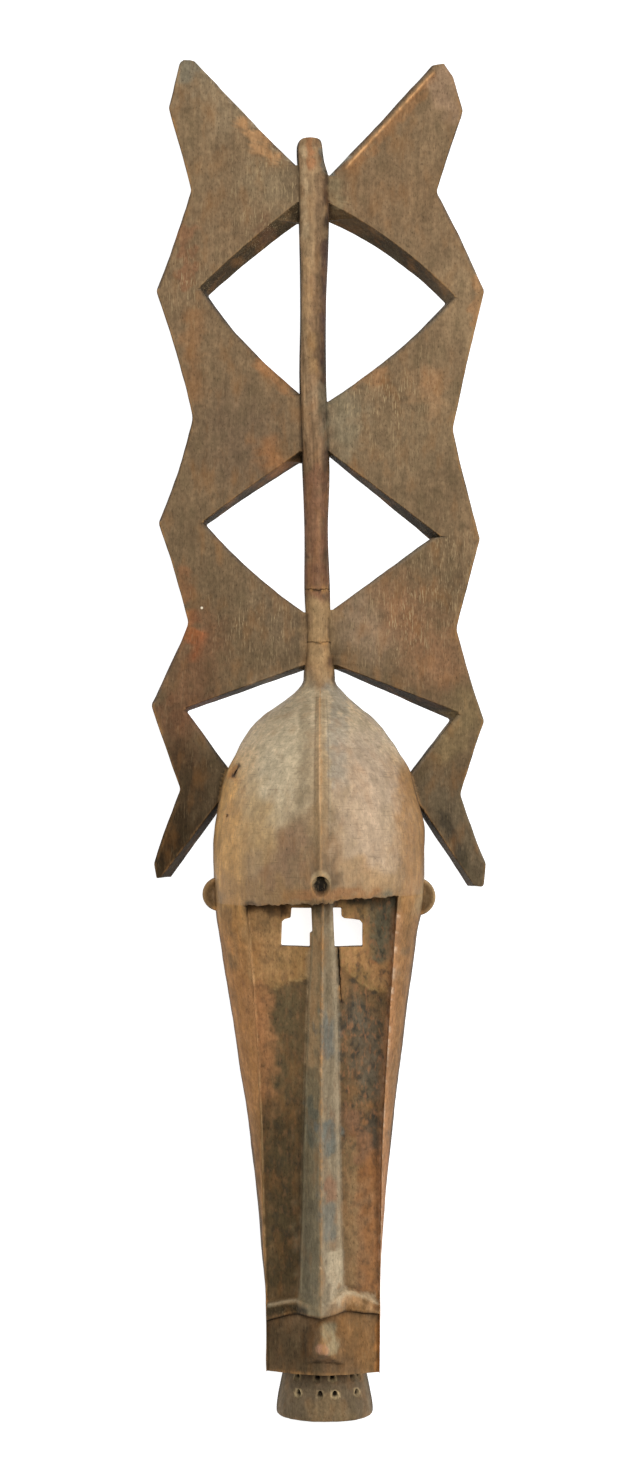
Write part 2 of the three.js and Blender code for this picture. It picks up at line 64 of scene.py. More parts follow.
NECK_Y = 64.0
DOME_MIDDLE_Y = -145.0
BROW_Y = -190.0
BROW_ROUND = 3.0
EDGE_DROP = 2.0
FRAME_X = 84.0
SIDE_HEIGHT = 52.0
RIM_TAPER = 0.975
DOME_BAND_START_ANGLE = 0.95
FACE_BAND_START_ANGLE = 0.6
CAP_END_ANGLE = 0.65
KEEL_X = 1.5
KEEL_FOOT = 15.0
KEEL_END_Y = -158.0
LEDGE_RISE = 9.0
STEP_RISE = 2.0
CHIN_X = 3.0
CHIN_BOTTOM_Y = -737.5
CHIN_RISE = 14.0
CHIN_HALF_WIDTH = 68.0
MOUTH_ROOT_Z = 107.0
MOUTH_TIP_Z = 131.0
MOUTH_TOP_Y = -673.0
MOUTH_BOTTOM_Y = -724.0
MOUTH_HALF_WIDTH = 21.0
MOUTH_SOFTNESS = 1.3

COLLAR_X = 5.5
BORE_LEAN = 0.62
FOREHEAD_BORE_LEAN = 0.85

# Columns of half a line across the head: nose or keel, cap or floor, wall, side band, rim
NOSE_COLUMNS = 16
CAP_COLUMNS = 22
WALL_COLUMNS = 2
BAND_COLUMNS = 12
RIM_COLUMNS = 5

# Lines along the head as [y, value] stations, in millimetres
HEAD_LEFT = [
    (76, -17), (64, -20), (54, -28), (48, -35), (36, -51.5), (25, -66), (13, -78.5), (1, -87),
    (-10, -94), (-22, -99.5), (-40, -109), (-63, -115.5), (-104, -123), (-130, -125),
    (-165, -124.5), (-209, -122), (-227, -119.5), (-250, -115.5), (-276, -111.5), (-318, -104.5),
    (-374, -96), (-430, -87), (-486, -79.5), (-542, -73.5), (-598, -68.5), (-655, -63.5),
    (-736, -62.5),
]
HEAD_RIGHT = [
    (76, 15.5), (64, 18), (54, 26), (48, 31.5), (36, 46), (25, 59), (13, 70.5), (1, 79.5),
    (-10, 87.5), (-22, 94.5), (-40, 105.5), (-63, 111.5), (-104, 122), (-130, 122.5),
    (-165, 122.5), (-200, 120.5), (-212, 118), (-227, 114.5), (-250, 111.5), (-276, 108),
    (-318, 102), (-374, 95), (-430, 88), (-486, 82), (-542, 76.5), (-598, 72.5), (-655, 70.5),
    (-736, 70),
]
DOME_HEIGHT = [
    (76, 33.5), (66, 36), (54, 44.5), (42, 61), (25, 90), (5, 117), (-20, 140), (-55, 163),
    (-95, 178), (-135, 186), (-170, 187), (-195, 184),
]
DOME_EDGE_HEIGHT = [
    (76, 24), (64, 26.5), (54, 32.5), (42, 44), (25, 63), (5, 83), (-20, 102), (-55, 121),
    (-95, 133), (-135, 139), (-170, 140), (-195, 138),
]
BAND_SHARE_LEFT = [(64, 0.72), (-191, 0.69)]
BAND_SHARE_RIGHT = [(64, 0.72), (-191, 0.725)]
FRAME_LEFT = [(-191, -84), (-330, -74), (-460, -67.5), (-560, -65), (-655, -61)]
FRAME_RIGHT = [(-184, 88), (-330, 78.5), (-460, 71.5), (-560, 69.5), (-655, 68)]
FRAME_HEIGHT = [(-191, 138), (-250, 130), (-350, 118), (-460, 107), (-560, 97), (-650, 89)]
FLOOR_OUTER = [(-191, 103), (-460, 95), (-650, 86)]
FLOOR_INNER = [(-191, 105), (-460, 101), (-650, 97)]
NOSE_LEFT = [(-191, -8), (-300, -14), (-420, -18.5), (-580, -23), (-650, -26)]
NOSE_RIGHT = [(-184, 15), (-300, 20.5), (-420, 22.5), (-580, 26), (-650, 30)]
NOSE_CREST = [(-184, 3), (-420, 1.2), (-650, 0.8)]
NOSE_HEIGHT = [(-184, 124), (-420, 128), (-660, 133)]
# Section of the nose as [share of the way to its foot, share of its height]
NOSE_SECTION = [(0, 1), (0.05, 0.975), (0.86, 0.2), (0.93, 0.14), (1.0, 0.02), (1.1, 0)]
# Keel of the dome as [distance from its crest, rise]: steep on the left, falling gently on the
# right
KEEL_LEFT = [(0, 3.6), (0.9, 3.1), (6.2, 0.3), (9, -0.1), (15, 0)]
KEEL_RIGHT = [(0, 3.6), (0.9, 3.2), (8.6, 0.8), (9.8, 0.1), (15, 0)]
# Lines across the front as [x, y] stations
BROW_LINE = [
    (88, -183), (32, -184.5), (18, -187), (4, -190), (-22, -190), (-84, -193.5),
]
LEDGE_TOP = [
    (69, -657.5), (32, -641), (14, -650), (0.8, -656), (-14, -654), (-29, -651), (-61, -659),
]
LEDGE_EDGE = [
    (69, -669), (51, -667), (30, -663.5), (14, -666), (0.8, -667.5), (-12, -667), (-28, -666.5),
    (-61, -677),
]
# Shallow step in the floor of the face, slanting down and out from the nose on both sides
STEP_LINE = [
    (83, -297), (60, -293), (47, -286), (27, -268), (0, -262), (-18, -281), (-36, -283),
    (-51, -292), (-73, -302.5),
]


def along(stations, at):
    """Smooth curve through [position, value] stations: on each span a cubic whose end slopes are
    those of the chords between the neighbouring stations."""
    pos = np.array([s[0] for s in stations], float)
    val = np.array([s[1] for s in stations], float)
    if pos[0] > pos[-1]:
        pos, val = pos[::-1], val[::-1]
    last = len(pos) - 1
    before = np.maximum(np.arange(last + 1) - 1, 0)
    after = np.minimum(np.arange(last + 1) + 1, last)
    slope = (val[after] - val[before]) / (pos[after] - pos[before])
    at = np.clip(np.asarray(at, float), pos[0], pos[-1])
    i = np.clip(np.searchsorted(pos, at, side="right") - 1, 0, last - 1)
    span = pos[i + 1] - pos[i]
    t = (at - pos[i]) / span
    rise = t * t * (3 - 2 * t)
    return (
        val[i] * (1 - rise)
        + val[i + 1] * rise
        + slope[i] * span * t * (1 - t) ** 2
        - slope[i + 1] * span * t * t * (1 - t)
    )


def mix(a, b, t):
    """a where t is 0, b where t is 1, and a straight line in between."""
    return a + (b - a) * t


def step(t):
    """0 up to t = 0, 1 from t = 1, and a smooth cubic in between."""
    t = np.clip(t, 0, 1)
    return t * t * (3 - 2 * t)


def bell(off, width):
    """1 where off is 0, falling off on both sides within about twice the width."""
    return np.exp(-((off / width) ** 2))


def piece_from_grid(name, points):
    """Closed body of a grid of points in millimetres: the columns run round each ring, the rows
    follow each other, and the first and last ring are closed by one flat face each."""
    rows, count, _ = points.shape
    ring = np.arange(count)
    after = np.roll(ring, -1)
    row = np.arange(rows - 1)[:, None] * count
    quads = np.stack([row + ring, row + ring + count, row + after + count, row + after], -1)
    faces = quads.reshape(-1, 4).tolist()
    faces.append(ring.tolist())
    faces.append((ring[::-1] + (rows - 1) * count).tolist())
    mesh = bpy.data.meshes.new(name)
    mesh.from_pydata((points.reshape(-1, 3) / 1000).tolist(), [], faces)
    mesh.validate()
    made = bpy.data.objects.new(name, mesh)
    bpy.context.scene.collection.objects.link(made)
    return made


def grid_from_lines(y, lines):
    """Grid of points from [x, z] lines that run down along y and lie side by side round a body."""
    return np.stack([np.stack([x, y, z], -1) for x, z in lines], 1)


def head_line(side, y_of, dome=False, ledge=0.0, chin=0.0):
    """Half of a line across the front of the head, as points from the middle outwards: from the
    crest of the keel or nose to its foot, over the dome or the floor of the face, up the frame's
    inner wall, round the side band on an arc and down to the back rim. Side is -1 or 1, y_of
    gives the line's y at an x, and ledge and chin are shares from 0 to 1."""
    t_nose = np.linspace(0, 1, NOSE_COLUMNS + 1)[:-1]
    t_cap = np.linspace(0, 1, CAP_COLUMNS)
    t_wall = np.linspace(0.3, 0.7, WALL_COLUMNS)
    y_mid = y_of(np.array(0.0))
    y_edge = y_of(np.array(FRAME_X * side))
    side_x = along(HEAD_RIGHT if side > 0 else HEAD_LEFT, y_edge)
    if dome:
        edge_x = side_x * along(BAND_SHARE_RIGHT if side > 0 else BAND_SHARE_LEFT, y_edge)
        edge_z = along(DOME_EDGE_HEIGHT, y_mid)
        # Towards the neck the keel narrows with the dome
        narrow = min(1.0, abs(edge_x) / 60)
        crest_x = KEEL_X * narrow
        foot_x = (KEEL_X + side * KEEL_FOOT) * narrow
        x = np.concatenate([mix(crest_x, foot_x, t_nose), mix(foot_x, edge_x, t_cap)])
        angle = np.arcsin(np.clip(np.abs(x / edge_x), 0, 1) * math.sin(CAP_END_ANGLE))
        up = (np.cos(angle) - math.cos(CAP_END_ANGLE)) / (1 - math.cos(CAP_END_ANGLE))
        z = mix(edge_z, along(DOME_HEIGHT, y_mid), up)
        keel = step((NECK_Y - y_mid) / 40) * (1 - step((KEEL_END_Y - y_mid) / 10))
        section = np.transpose(KEEL_RIGHT if side > 0 else KEEL_LEFT)
        z = z + keel * np.interp(np.abs(x - crest_x) / narrow, *section)
        start_angle = DOME_BAND_START_ANGLE
        top_x, top_z = edge_x + 0.5 * side, float(z[-1])
    else:
        edge_x = along(FRAME_RIGHT if side > 0 else FRAME_LEFT, y_edge)
        crest_x = along(NOSE_CREST, y_mid)
        foot_x = along(NOSE_RIGHT if side > 0 else NOSE_LEFT, y_of(np.array(20.0 * side)))
        x = np.concatenate([mix(crest_x, foot_x, t_nose), mix(foot_x, edge_x, t_cap)])
        y = y_of(x)
        # The ledge is highest below the nose, and the chin is a prow highest in its middle
        lift = ledge * LEDGE_RISE * (1 + bell(x - 2, 24))
        lift = lift + chin * (CHIN_RISE * (1 - np.abs(x - CHIN_X) / CHIN_HALF_WIDTH) - 2)
        t = np.clip((x - foot_x) / (edge_x - foot_x), 0, 1)
        z = mix(along(FLOOR_INNER, y), along(FLOOR_OUTER, y), t) + lift
        to_foot = np.abs(x - crest_x) / abs(foot_x - crest_x)
        ridge = np.interp(to_foot, *np.transpose(NOSE_SECTION))
        z = z + (1 - chin) * ridge * (along(NOSE_HEIGHT, y_mid) - z)
        beside_nose = step((to_foot - 0.95) * 8)
        z = z + STEP_RISE * step((y - along(STEP_LINE, x)) / 3 + 0.5) * beside_nose
        # The side band grows steeper below the brow, so that it has no joint there
        lower = step((BROW_Y - y_edge) / 45)
        start_angle = mix(DOME_BAND_START_ANGLE, FACE_BAND_START_ANGLE, lower)
        top_x = edge_x + 1.2 * side
        top_z = max(float(along(FRAME_HEIGHT, y_edge)), float(z[-1]) + 0.6)
    wall_x, wall_z = mix(edge_x, top_x, t_wall), mix(z[-1], top_z, t_wall)
    side_z = min(SIDE_HEIGHT, 0.5 * top_z)
    angle = mix(start_angle, math.pi / 2, np.linspace(0, 1, BAND_COLUMNS))
    out = (np.sin(angle) - math.sin(start_angle)) / (1 - math.sin(start_angle))
    band_x = mix(top_x, side_x, out)
    band_z = mix(side_z, top_z, np.cos(angle) / math.cos(start_angle))
    t_rim = np.linspace(0, 1, RIM_COLUMNS + 1)[1:]
    x = np.concatenate([x, wall_x, band_x, mix(side_x, side_x * RIM_TAPER, t_rim)])
    z = np.concatenate([z, wall_z, band_z, mix(side_z, 0, t_rim)])
    if dome:
        # High on the dome the side band runs into the cap without an edge
        share = 0.04 + 0.46 * step((y_mid + 175) / 90)
        start, stop = NOSE_COLUMNS + 2, -RIM_COLUMNS - 2
        for _ in range(24):
            for line in (x, z):
                around = (line[start - 1 : stop - 1] + line[start + 1 : stop + 1]) / 2
                line[start:stop] = mix(line[start:stop], around, share)
    return np.stack([x, y_of(x), z], -1)


def head_grid():
    """Front of the head as rows of lines across it, from the neck of the dome to the chin. The
    rows follow the brow and the ledge, and lie close together where the surface turns over an
    edge."""

    def line(y_of, **form):
        return np.concatenate([head_line(-1, y_of, **form)[:0:-1], head_line(1, y_of, **form)])

    def level(y):
        return lambda x: np.full(np.shape(x), float(y))

    def curve(stations, shift=0.0):
        return lambda x: along(stations, x) + shift

    def between(upper, lower, t):
        return lambda x: mix(upper(x), lower(x), t)

    def chin_end(x):
        return CHIN_BOTTOM_Y - 0.015 * (x - CHIN_X)

    lines = []
    for y in np.concatenate([np.arange(76, 18, -1.6), np.arange(18, DOME_MIDDLE_Y, -2.4)]):
        lines.append(line(level(y), dome=True))
    for t in np.linspace(0, 1, 18):
        y_of = between(level(DOME_MIDDLE_Y), curve(BROW_LINE, BROW_ROUND), t)
        lines.append(line(y_of, dome=True))
    # Brow edge, rounded over, and its underside
    brow = line(curve(BROW_LINE), dome=True)
    from_middle = np.abs(np.arange(len(brow)) - len(brow) // 2)
    on_cap = step((NOSE_COLUMNS + CAP_COLUMNS + WALL_COLUMNS + 0.5 - from_middle) / 3)
    for turn in np.radians([20, 40, 60, 80]):
        lines.append(brow + np.outer(BROW_ROUND * (1 - math.sin(turn)) * on_cap, [0, 1, 0]))
        lines[-1][:, 2] -= BROW_ROUND * (1 - math.cos(turn)) * on_cap
    edge = lines[-1]
    below = line(curve(BROW_LINE, -EDGE_DROP))
    for t in (0.1, 0.3, 0.5, 0.7, 0.9):
        lines.append(mix(edge, below, t))
    # Face
    for t in np.linspace(0, 1, 9):
        lines.append(line(between(curve(BROW_LINE, -EDGE_DROP), level(-212), t)))
    for y in np.arange(-214.5, -630, -2.5):
        lines.append(line(level(y)))
    # Ledge: a lit ridge along its upper line, a band that recedes below it, an undercut edge
    top, under_top = curve(LEDGE_TOP, 5), curve(LEDGE_TOP, -2)
    for t in np.linspace(0, 1, 7)[1:]:
        lines.append(line(between(level(-629.5), top, t)))
    for t, rise in ((0.2, 0.15), (0.45, 0.55), (0.7, 0.88), (1, 1)):
        lines.append(line(between(top, under_top, t), ledge=rise))
    for t in np.linspace(0, 1, 8)[1:]:
        lines.append(line(between(under_top, curve(LEDGE_EDGE), t), ledge=1 - 0.3 * t))
    edge = lines[-1]
    chin_start = curve(LEDGE_EDGE, -EDGE_DROP)
    below = line(chin_start, chin=1)
    for t in (0.12, 0.4, 0.7):
        lines.append(mix(edge, below, t))
    # Chin, a blunt prow, with the mouth as a pyramid of two flanks, a lower face and a broken tip
    for t in np.linspace(0, 1, 36):
        row = line(between(chin_start, chin_end, t), chin=1)
        x, y, z = row.T
        half_width = MOUTH_HALF_WIDTH * np.sqrt(np.clip((MOUTH_TOP_Y - y) / 22, 0, 1))
        aside = np.abs(x - CHIN_X + 0.08 * (y + 690))
        planes = np.stack([
            MOUTH_ROOT_Z + 1.35 * (half_width - aside),
            MOUTH_ROOT_Z + 1.5 * (y - MOUTH_BOTTOM_Y),
            MOUTH_TIP_Z + 0.2 * (x - CHIN_X) + 0.1 * (y + 706),
        ])
        # Soft minimum of the planes
        mouth = -MOUTH_SOFTNESS * np.log(np.sum(np.exp(-planes / MOUTH_SOFTNESS), 0))
        row[:, 2] = np.where(np.abs(x - CHIN_X) < 30, np.maximum(z, mouth), z)
        lines.append(row)
    return np.stack(lines)


def rounded_polygon(corners):
    """Points of an outline whose corners [x, y, radius] are rounded by a quadratic bend each."""
    out = []
    for i, (x, y, radius) in enumerate(corners):
        corner = np.array([x, y], float)
        if radius == 0:
            out.append(corner)
            continue
        before = np.array(corners[i - 1][:2], float) - corner
        after = np.array(corners[(i + 1) % len(corners)][:2], float) - corner
        long_before, long_after = np.linalg.norm(before), np.linalg.norm(after)
        half = math.acos(np.clip(before @ after / long_before / long_after, -1, 1)) / 2
        reach = min(radius / math.tan(half), 0.45 * long_before, 0.45 * long_after)
        start = corner + before / long_before * reach
        stop = corner + after / long_after * reach
        for t in np.linspace(0, 1, 7):
            out.append(start * (1 - t) ** 2 + 2 * corner * t * (1 - t) + stop * t * t)
    return np.array(out)


def sagging(start, stop, sag):
    """Corners along an edge that bows sideways by sag, both ends left out."""
    if sag == 0:
        return []
    run = np.array(stop[:2], float) - np.array(start[:2], float)
    side = np.array([-run[1], run[0]]) / np.linalg.norm(run)
    return [
        (*(np.array(start[:2], float) + run * t + side * 4 * sag * t * (1 - t)), 0)
        for t in np.linspace(0.1, 0.9, 9)
    ]


def wing_grid(side, tip, tip_root, tip_sag, gaps, head_top, head_bottom, foot, outer):
    """One wing of the board as a strip: for every y a closed ring goes over the front from the
    outer edge to the inner one, down the inner edge, back under and up the outer edge. Side is
    -1 or 1, and tip, gaps, head, foot and outer give the outline's corners."""

    def inner_line(face):
        line = [(*tip, CUT_RADIUS), *sagging(tip, tip_root, tip_sag), (*tip_root, 0)]
        line.append((POLE_X, tip_root[1] - 0.2, 0))
        for gap in gaps:
            top, apex, turn = gap[face]
            low = gap["low"]
            line += [(POLE_X, top[1] + 0.2, 0), (*top, 0), *sagging(top, apex, gap["top_sag"])]
            line.append((*apex, CUT_RADIUS))
            if turn:
                line.append((*turn, CUT_RADIUS))
            line += [*sagging(turn or apex, low, gap["low_sag"]), (*low, 0)]
            line.append((POLE_X, low[1] - 0.2, 0))
        line[-2:] = [(*gaps[-1]["low"], 0), (*head_top, 0)]
        line += [(*head_bottom[face], 0), (*foot[face], CUT_RADIUS)]
        return line

    rim = []
    for i, (x, y, radius, sag) in enumerate(outer):
        rim += [(x, y, radius), *sagging((x, y), outer[i + 1] if i + 1 < len(outer) else tip, sag)]

    def edges(face):
        inner = inner_line(face)
        outline = rounded_polygon(inner + rim)
        top = int(np.argmax(outline[:, 1]))
        outline = np.roll(outline, -top, axis=0)
        bottom = int(np.argmin(outline[:, 1]))
        down, up = outline[: bottom + 1], outline[bottom:]
        if side * down[len(down) // 2, 0] > side * up[len(up) // 2, 0]:
            down, up = up[::-1], down[::-1]
        return down, up[::-1]

    def x_at(line, y):
        line_y = np.minimum.accumulate(line[:, 1] - np.arange(len(line)) * 1e-5)
        return np.interp(-y, -line_y, line[:, 0])

    front_in, front_out = edges("front")
    back_in, back_out = edges("back")
    high = min(front_in[0, 1], back_in[0, 1]) - 0.05
    low = max(line[-1, 1] for line in (front_in, front_out, back_in, back_out)) + 0.05
    # A row at every corner of the inner outlines, and further ones where there is room
    corners = np.concatenate([front_in[:, 1], back_in[:, 1]])
    knots = np.concatenate([corners, front_out[:, 1], np.arange(low, high, 2.6)])
    knots = np.unique(np.round(knots[(knots > low) & (knots < high)], 2))
    must = np.round(corners, 2)
    keep = [high]
    for y in knots[::-1]:
        if keep[-1] - y > 0.9 or (y in must and keep[-1] - y > 0.15):
            keep.append(y)
    y = np.array(keep + [low])
    fi, fo, bi, bo = (x_at(line, y) for line in (front_in, front_out, back_in, back_out))
    inwards = np.sign(fi - fo)
    room = 0.25 * np.abs(fi - fo)

    def edge_form(slope):
        """Width and drop of an edge's bevel: edges that face up the board are cut wider."""
        width = mix(EDGE_ROUND, CHAMFER, step((slope - 0.1) / 0.4))
        ease = np.minimum(width * np.sqrt(1 + np.minimum(slope**2, 4)), room)
        return ease, np.minimum(np.minimum(width, ease), 0.6 * width + 0.6)

    ease_in, low_in = edge_form(-np.gradient(fi, y) * inwards)
    ease_out, low_out = edge_form(np.gradient(fo, y) * inwards)
    rings = []
    for turn in np.radians([0, 35, 65, 90]):
        x = fo + inwards * ease_out * (1 - math.cos(turn))
        rings.append((x, WING_THICKNESS - low_out * (1 - math.sin(turn))))
    # Columns lie close together next to the edges, where bare wood is drawn
    flat = np.abs(fi - fo) - ease_in - ease_out
    gaps_near = enumerate((0.8, 1.8, 3.2, 5.2, 8), start=1)
    near = [np.minimum(gap, 0.07 * k * flat) for k, gap in gaps_near]
    from_out = near + [mix(near[-1], flat - near[-1], t) for t in np.linspace(0, 1, 15)[1:-1]]
    for distance in from_out + [flat - gap for gap in near[::-1]]:
        rings.append((fo + inwards * (ease_out + distance), np.full(len(y), WING_THICKNESS)))
    for turn in np.radians([90, 65, 35, 0]):
        x = fi - inwards * ease_in * (1 - math.cos(turn))
        rings.append((x, WING_THICKNESS - low_in * (1 - math.sin(turn))))
    for t in (0.33, 0.66, 1):
        rings.append((mix(fi, bi, t), mix(WING_THICKNESS - low_in, 0, t)))
    for t in (0.25, 0.5, 0.75, 1):
        rings.append((mix(bi, bo, t), np.zeros(len(y))))
    for t in (0.33, 0.66):
        rings.append((mix(bo, fo, t), mix(0, WING_THICKNESS - low_out, t)))
    return grid_from_lines(y, rings if side < 0 else rings[::-1])


left_wing = piece_from_grid("left_wing", wing_grid(
    side=-1,
    tip=(-148, 798),
    tip_root=(-28, 674),
    tip_sag=-1.5,
    gaps=[
        dict(
            front=((-25.5, 630.5), (-141.5, 530), None), back=((-27.5, 609), (-133, 523.5), None),
            low=(-23, 403.5), top_sag=-2, low_sag=-6,
        ),
        dict(
            front=((-22.5, 336.5), (-138, 253), None), back=((-25, 324.5), (-135.5, 251), None),
            low=(-19, 146.5), top_sag=-1, low_sag=-5,
        ),
        dict(
            front=((-13, 86), (-160, 33), None), back=((-18, 79), (-158.5, 29.5), None),
            low=(-104.5, -43.5), top_sag=0, low_sag=0,
        ),
    ],
    head_top=(-100, -60),
    head_bottom=dict(front=(-112, -68), back=(-112, -77)),
    foot=dict(front=(-187.5, -166.5), back=(-177.5, -168)),
    outer=[
        (-193, -168, 7, 0),
        (-196, -150, BUMP_RADIUS, 1),
        (-165, -62, NOTCH_RADIUS, 0.5),
        (-199, 37, BUMP_RADIUS, -0.5),
        (-155, 134, NOTCH_RADIUS, -1),
        (-190.5, 252, BUMP_RADIUS, -2.5),
        (-150, 376, NOTCH_RADIUS, -2.5),
        (-193.5, 526, BUMP_RADIUS, -1.5),
        (-152, 645, NOTCH_RADIUS, -0.5),
        (-178.5, 742, BUMP_RADIUS, 0),
        (-165, 798.5, 2 * CUT_RADIUS, 0),
    ],
))
right_wing = piece_from_grid("right_wing", wing_grid(
    side=1,
    tip=(132, 792),
    tip_root=(11, 662),
    tip_sag=1,
    gaps=[
        dict(
            front=((5.5, 632), (159, 519), None), back=((10.5, 611.5), (149.5, 514.5), None),
            low=(9, 395), top_sag=8, low_sag=6,
        ),
        dict(
            front=((5.5, 339.5), (142.5, 235.5), (132, 234.5)),
            back=((12, 331.5), (132, 233), (131, 232)), low=(15, 149.5), top_sag=0, low_sag=0,
        ),
        dict(
            front=((17.5, 84.5), (164.5, 28), None), back=((19, 79.5), (155, 20), None),
            low=(104, -46.5), top_sag=0, low_sag=0,
        ),
    ],
    head_top=(100, -60),
    head_bottom=dict(front=(112, -72), back=(112, -81)),
    foot=dict(front=(181, -176), back=(176, -178)),
    outer=[
        (193, -178.5, 5, 0),
        (196, -150, BUMP_RADIUS, 1.5),
        (166, -68, NOTCH_RADIUS, 0.5),
        (193.5, 18, BUMP_RADIUS, 1),
        (161, 127, NOTCH_RADIUS, 0.5),
        (189, 233, BUMP_RADIUS, 1),
        (156.5, 363, NOTCH_RADIUS, 0.5),
        (194, 526, BUMP_RADIUS, -1.5),
        (137.5, 643, NOTCH_RADIUS, 0.5),
        (168.5, 738, BUMP_RADIUS, 0),
        (157.5, 780, BUMP_RADIUS, 0),
        (147, 794.5, CUT_RADIUS, 0),
    ],
))

POLE_LEFT = [
    (706, -24), (697, -27.5), (677, -27), (596, -25), (516, -23.5), (421, -24.5), (315, -21),
    (244, -18.5), (173, -18.5), (114, -16), (74, -19), (50, -19),
]
POLE_RIGHT = [
    (706, 1), (699, 2.5), (680, 5), (658, 10.5), (596, 10.5), (516, 7.5), (421, 7.5), (315, 11.5),
    (244, 9.5), (173, 12), (114, 13), (74, 17.5), (50, 17.5),
]


def pole_grid():
    """Pole down the middle of the board: a bar with a flat back and a half-round front."""
    rounded = POLE_TOP_Y - np.array([0, 0.4, 1, 2, 3.5])
    y = np.concatenate([rounded, np.arange(700, 50, -2.6), [50]])
    left, right = along(POLE_LEFT, y), along(POLE_RIGHT, y)
    end = np.clip((POLE_TOP_Y - y) / 4, 0, 1)
    inset = 3 * (1 - np.sqrt(1 - (1 - end) ** 2))
    left, right = left + inset, right - inset
    height = POLE_HEIGHT - inset - np.maximum(y - 696, 0) * 0.2
    rings = [(left, np.zeros(len(y)))]
    for angle in np.linspace(0, math.pi, 25):
        across = (1 + math.cos(angle)) / 2
        up = math.sin(angle) ** POLE_BULGE
        rings.append((mix(right, left, across), mix(POLE_SIDE_SHARE * height, height, up)))
    rings.append((right, np.zeros(len(y))))
    return grid_from_lines(y, rings)


HOLLOW_LEFT = [
    (22, -22), (15, -48), (5, -66), (-10, -78), (-30, -89), (-60, -99), (-104, -106),
    (-165, -107), (-209, -104), (-276, -94), (-374, -79), (-486, -63.5), (-598, -53), (-690, -47),
    (-728, -35.5), (-760, -34.5), (-808, -40),
]
HOLLOW_RIGHT = [
    (22, 20), (15, 43), (5, 60), (-10, 72), (-30, 85), (-60, 96), (-104, 105), (-165, 105.5),
    (-209, 103), (-276, 91), (-374, 78.5), (-486, 66), (-598, 57), (-690, 53), (-728, 45.5),
    (-760, 45.5), (-808, 51),
]
HOLLOW_HEIGHT = [
    (22, 20), (15, 52), (5, 80), (-10, 108), (-30, 130), (-60, 148), (-104, 164), (-150, 171),
    (-172, 170), (-178, 150), (-184, 98), (-196, 88), (-460, 80), (-600, 73), (-690, 62),
    (-728, 40), (-760, 40), (-808, 45),
]


def hollow_grid():
    """Hollow of the back: a trough whose section is a blunt arch, from the dome to the collar's
    end, with its rows close together behind the brow."""
    rows = (np.arange(22, -160, -4), np.arange(-160, -200, -2.5), np.arange(-200, -808, -8), [-808])
    y = np.concatenate(rows)
    left, right, height = (along(line, y) for line in (HOLLOW_LEFT, HOLLOW_RIGHT, HOLLOW_HEIGHT))
    rings = [(left, np.full(len(y), -5.0))]
    for angle in np.linspace(0, math.pi, 41):
        across = math.copysign(abs(math.cos(angle)) ** 0.85, math.cos(angle))
        rings.append((mix(right, left, (1 + across) / 2), height * math.sin(angle) ** 0.75))
    rings.append((right, np.full(len(y), -5.0)))
    return grid_from_lines(y, rings)


COLLAR_RADIUS = [(-722, 46.5), (-745, 47.5), (-758, 50.5), (-775, 54), (-794, 57), (-803.5, 57)]


def collar_grid():
    """Collar: a half tube that flares towards its end, the end edge rounded over."""
    y = np.concatenate([np.arange(-722, -796, -2), [-797, -799, -801, -802.5, -803.3, -803.5]])
    end = np.clip((-799.5 - y) / 4, 0, 1)
    radius = along(COLLAR_RADIUS, y) - 1.5 * (1 - np.sqrt(1 - end**2))
    rings = []
    for angle in np.linspace(0, math.pi, 61):
        rings.append((COLLAR_X - radius * math.cos(angle), 0.98 * radius * math.sin(angle)))
    return grid_from_lines(y, rings)


def turned_grid(profile, centre, lean=0.0, turn=0.0, sides=20):
    """Body of revolution about an upright axis from a profile of [radius, height] points going
    up, then leaned about X, turned about Y and set at centre. It makes the ears and the bores."""
    radius, height = np.array(profile[::-1], float).T[:, :, None]
    angle = np.linspace(0, 2 * math.pi, sides, endpoint=False)
    x, y, z = radius * np.cos(angle), radius * np.sin(angle), height + 0 * angle
    c, s = math.cos(lean), math.sin(lean)
    y, z = y * c - z * s, y * s + z * c
    c, s = math.cos(turn), math.sin(turn)
    x, z = x * c + z * s, z * c - x * s
    return np.stack([x, y, z], -1) + np.array(centre, float)


def prism_grid(corners, low, high):
    """Upright prism over an outline of [x, y] corners, given clockwise, each rounded a little."""
    outline = rounded_polygon([(x, y, 1.5) for x, y in corners])
    ends = [np.column_stack([outline, np.full(len(outline), float(z))]) for z in (low, high)]
    return np.stack(ends)


def ear(name, x, y, radius):
    """Round cup on a stem, its lip rounded and its hollow shallow."""
    profile = [
        (0.3, 46), (radius - 4, 46), (radius - 1.2, 47.2), (radius, 50), (radius, 67),
        (radius - 0.8, 69), (radius - 2.2, 70), (radius - 4, 69.3), (radius - 6, 66.5),
        (radius - 8.5, 64), (radius - 12, 62.8), (0.3, 62.5),
    ]
    return piece_from_grid(name, turned_grid(profile, (x, y, 0), sides=48))


mask = piece_from_grid("mask", head_grid())
joined = [
    left_wing,
    right_wing,
    piece_from_grid("pole", pole_grid()),
    piece_from_grid("collar", collar_grid()),
    ear("left_ear", -117, -184.5, 20),
    ear("right_ear", 113, -187.5, 22),
]
cut_away = [piece_from_grid("hollow", hollow_grid())]
for name, corners in (
    ("left_eye", [
        (-33, -198), (-10, -198), (-9, -226), (-12, -228), (-12, -243.5), (-45, -242.5),
        (-44, -214), (-41, -211), (-34, -209),
    ]),
    ("right_eye", [
        (15, -198), (24.5, -198), (25, -208), (28, -210), (46, -212), (49.5, -216), (49, -243),
        (17, -243.5),
    ]),
):
    cut_away.append(piece_from_grid(name, prism_grid(corners, 40, 150)))
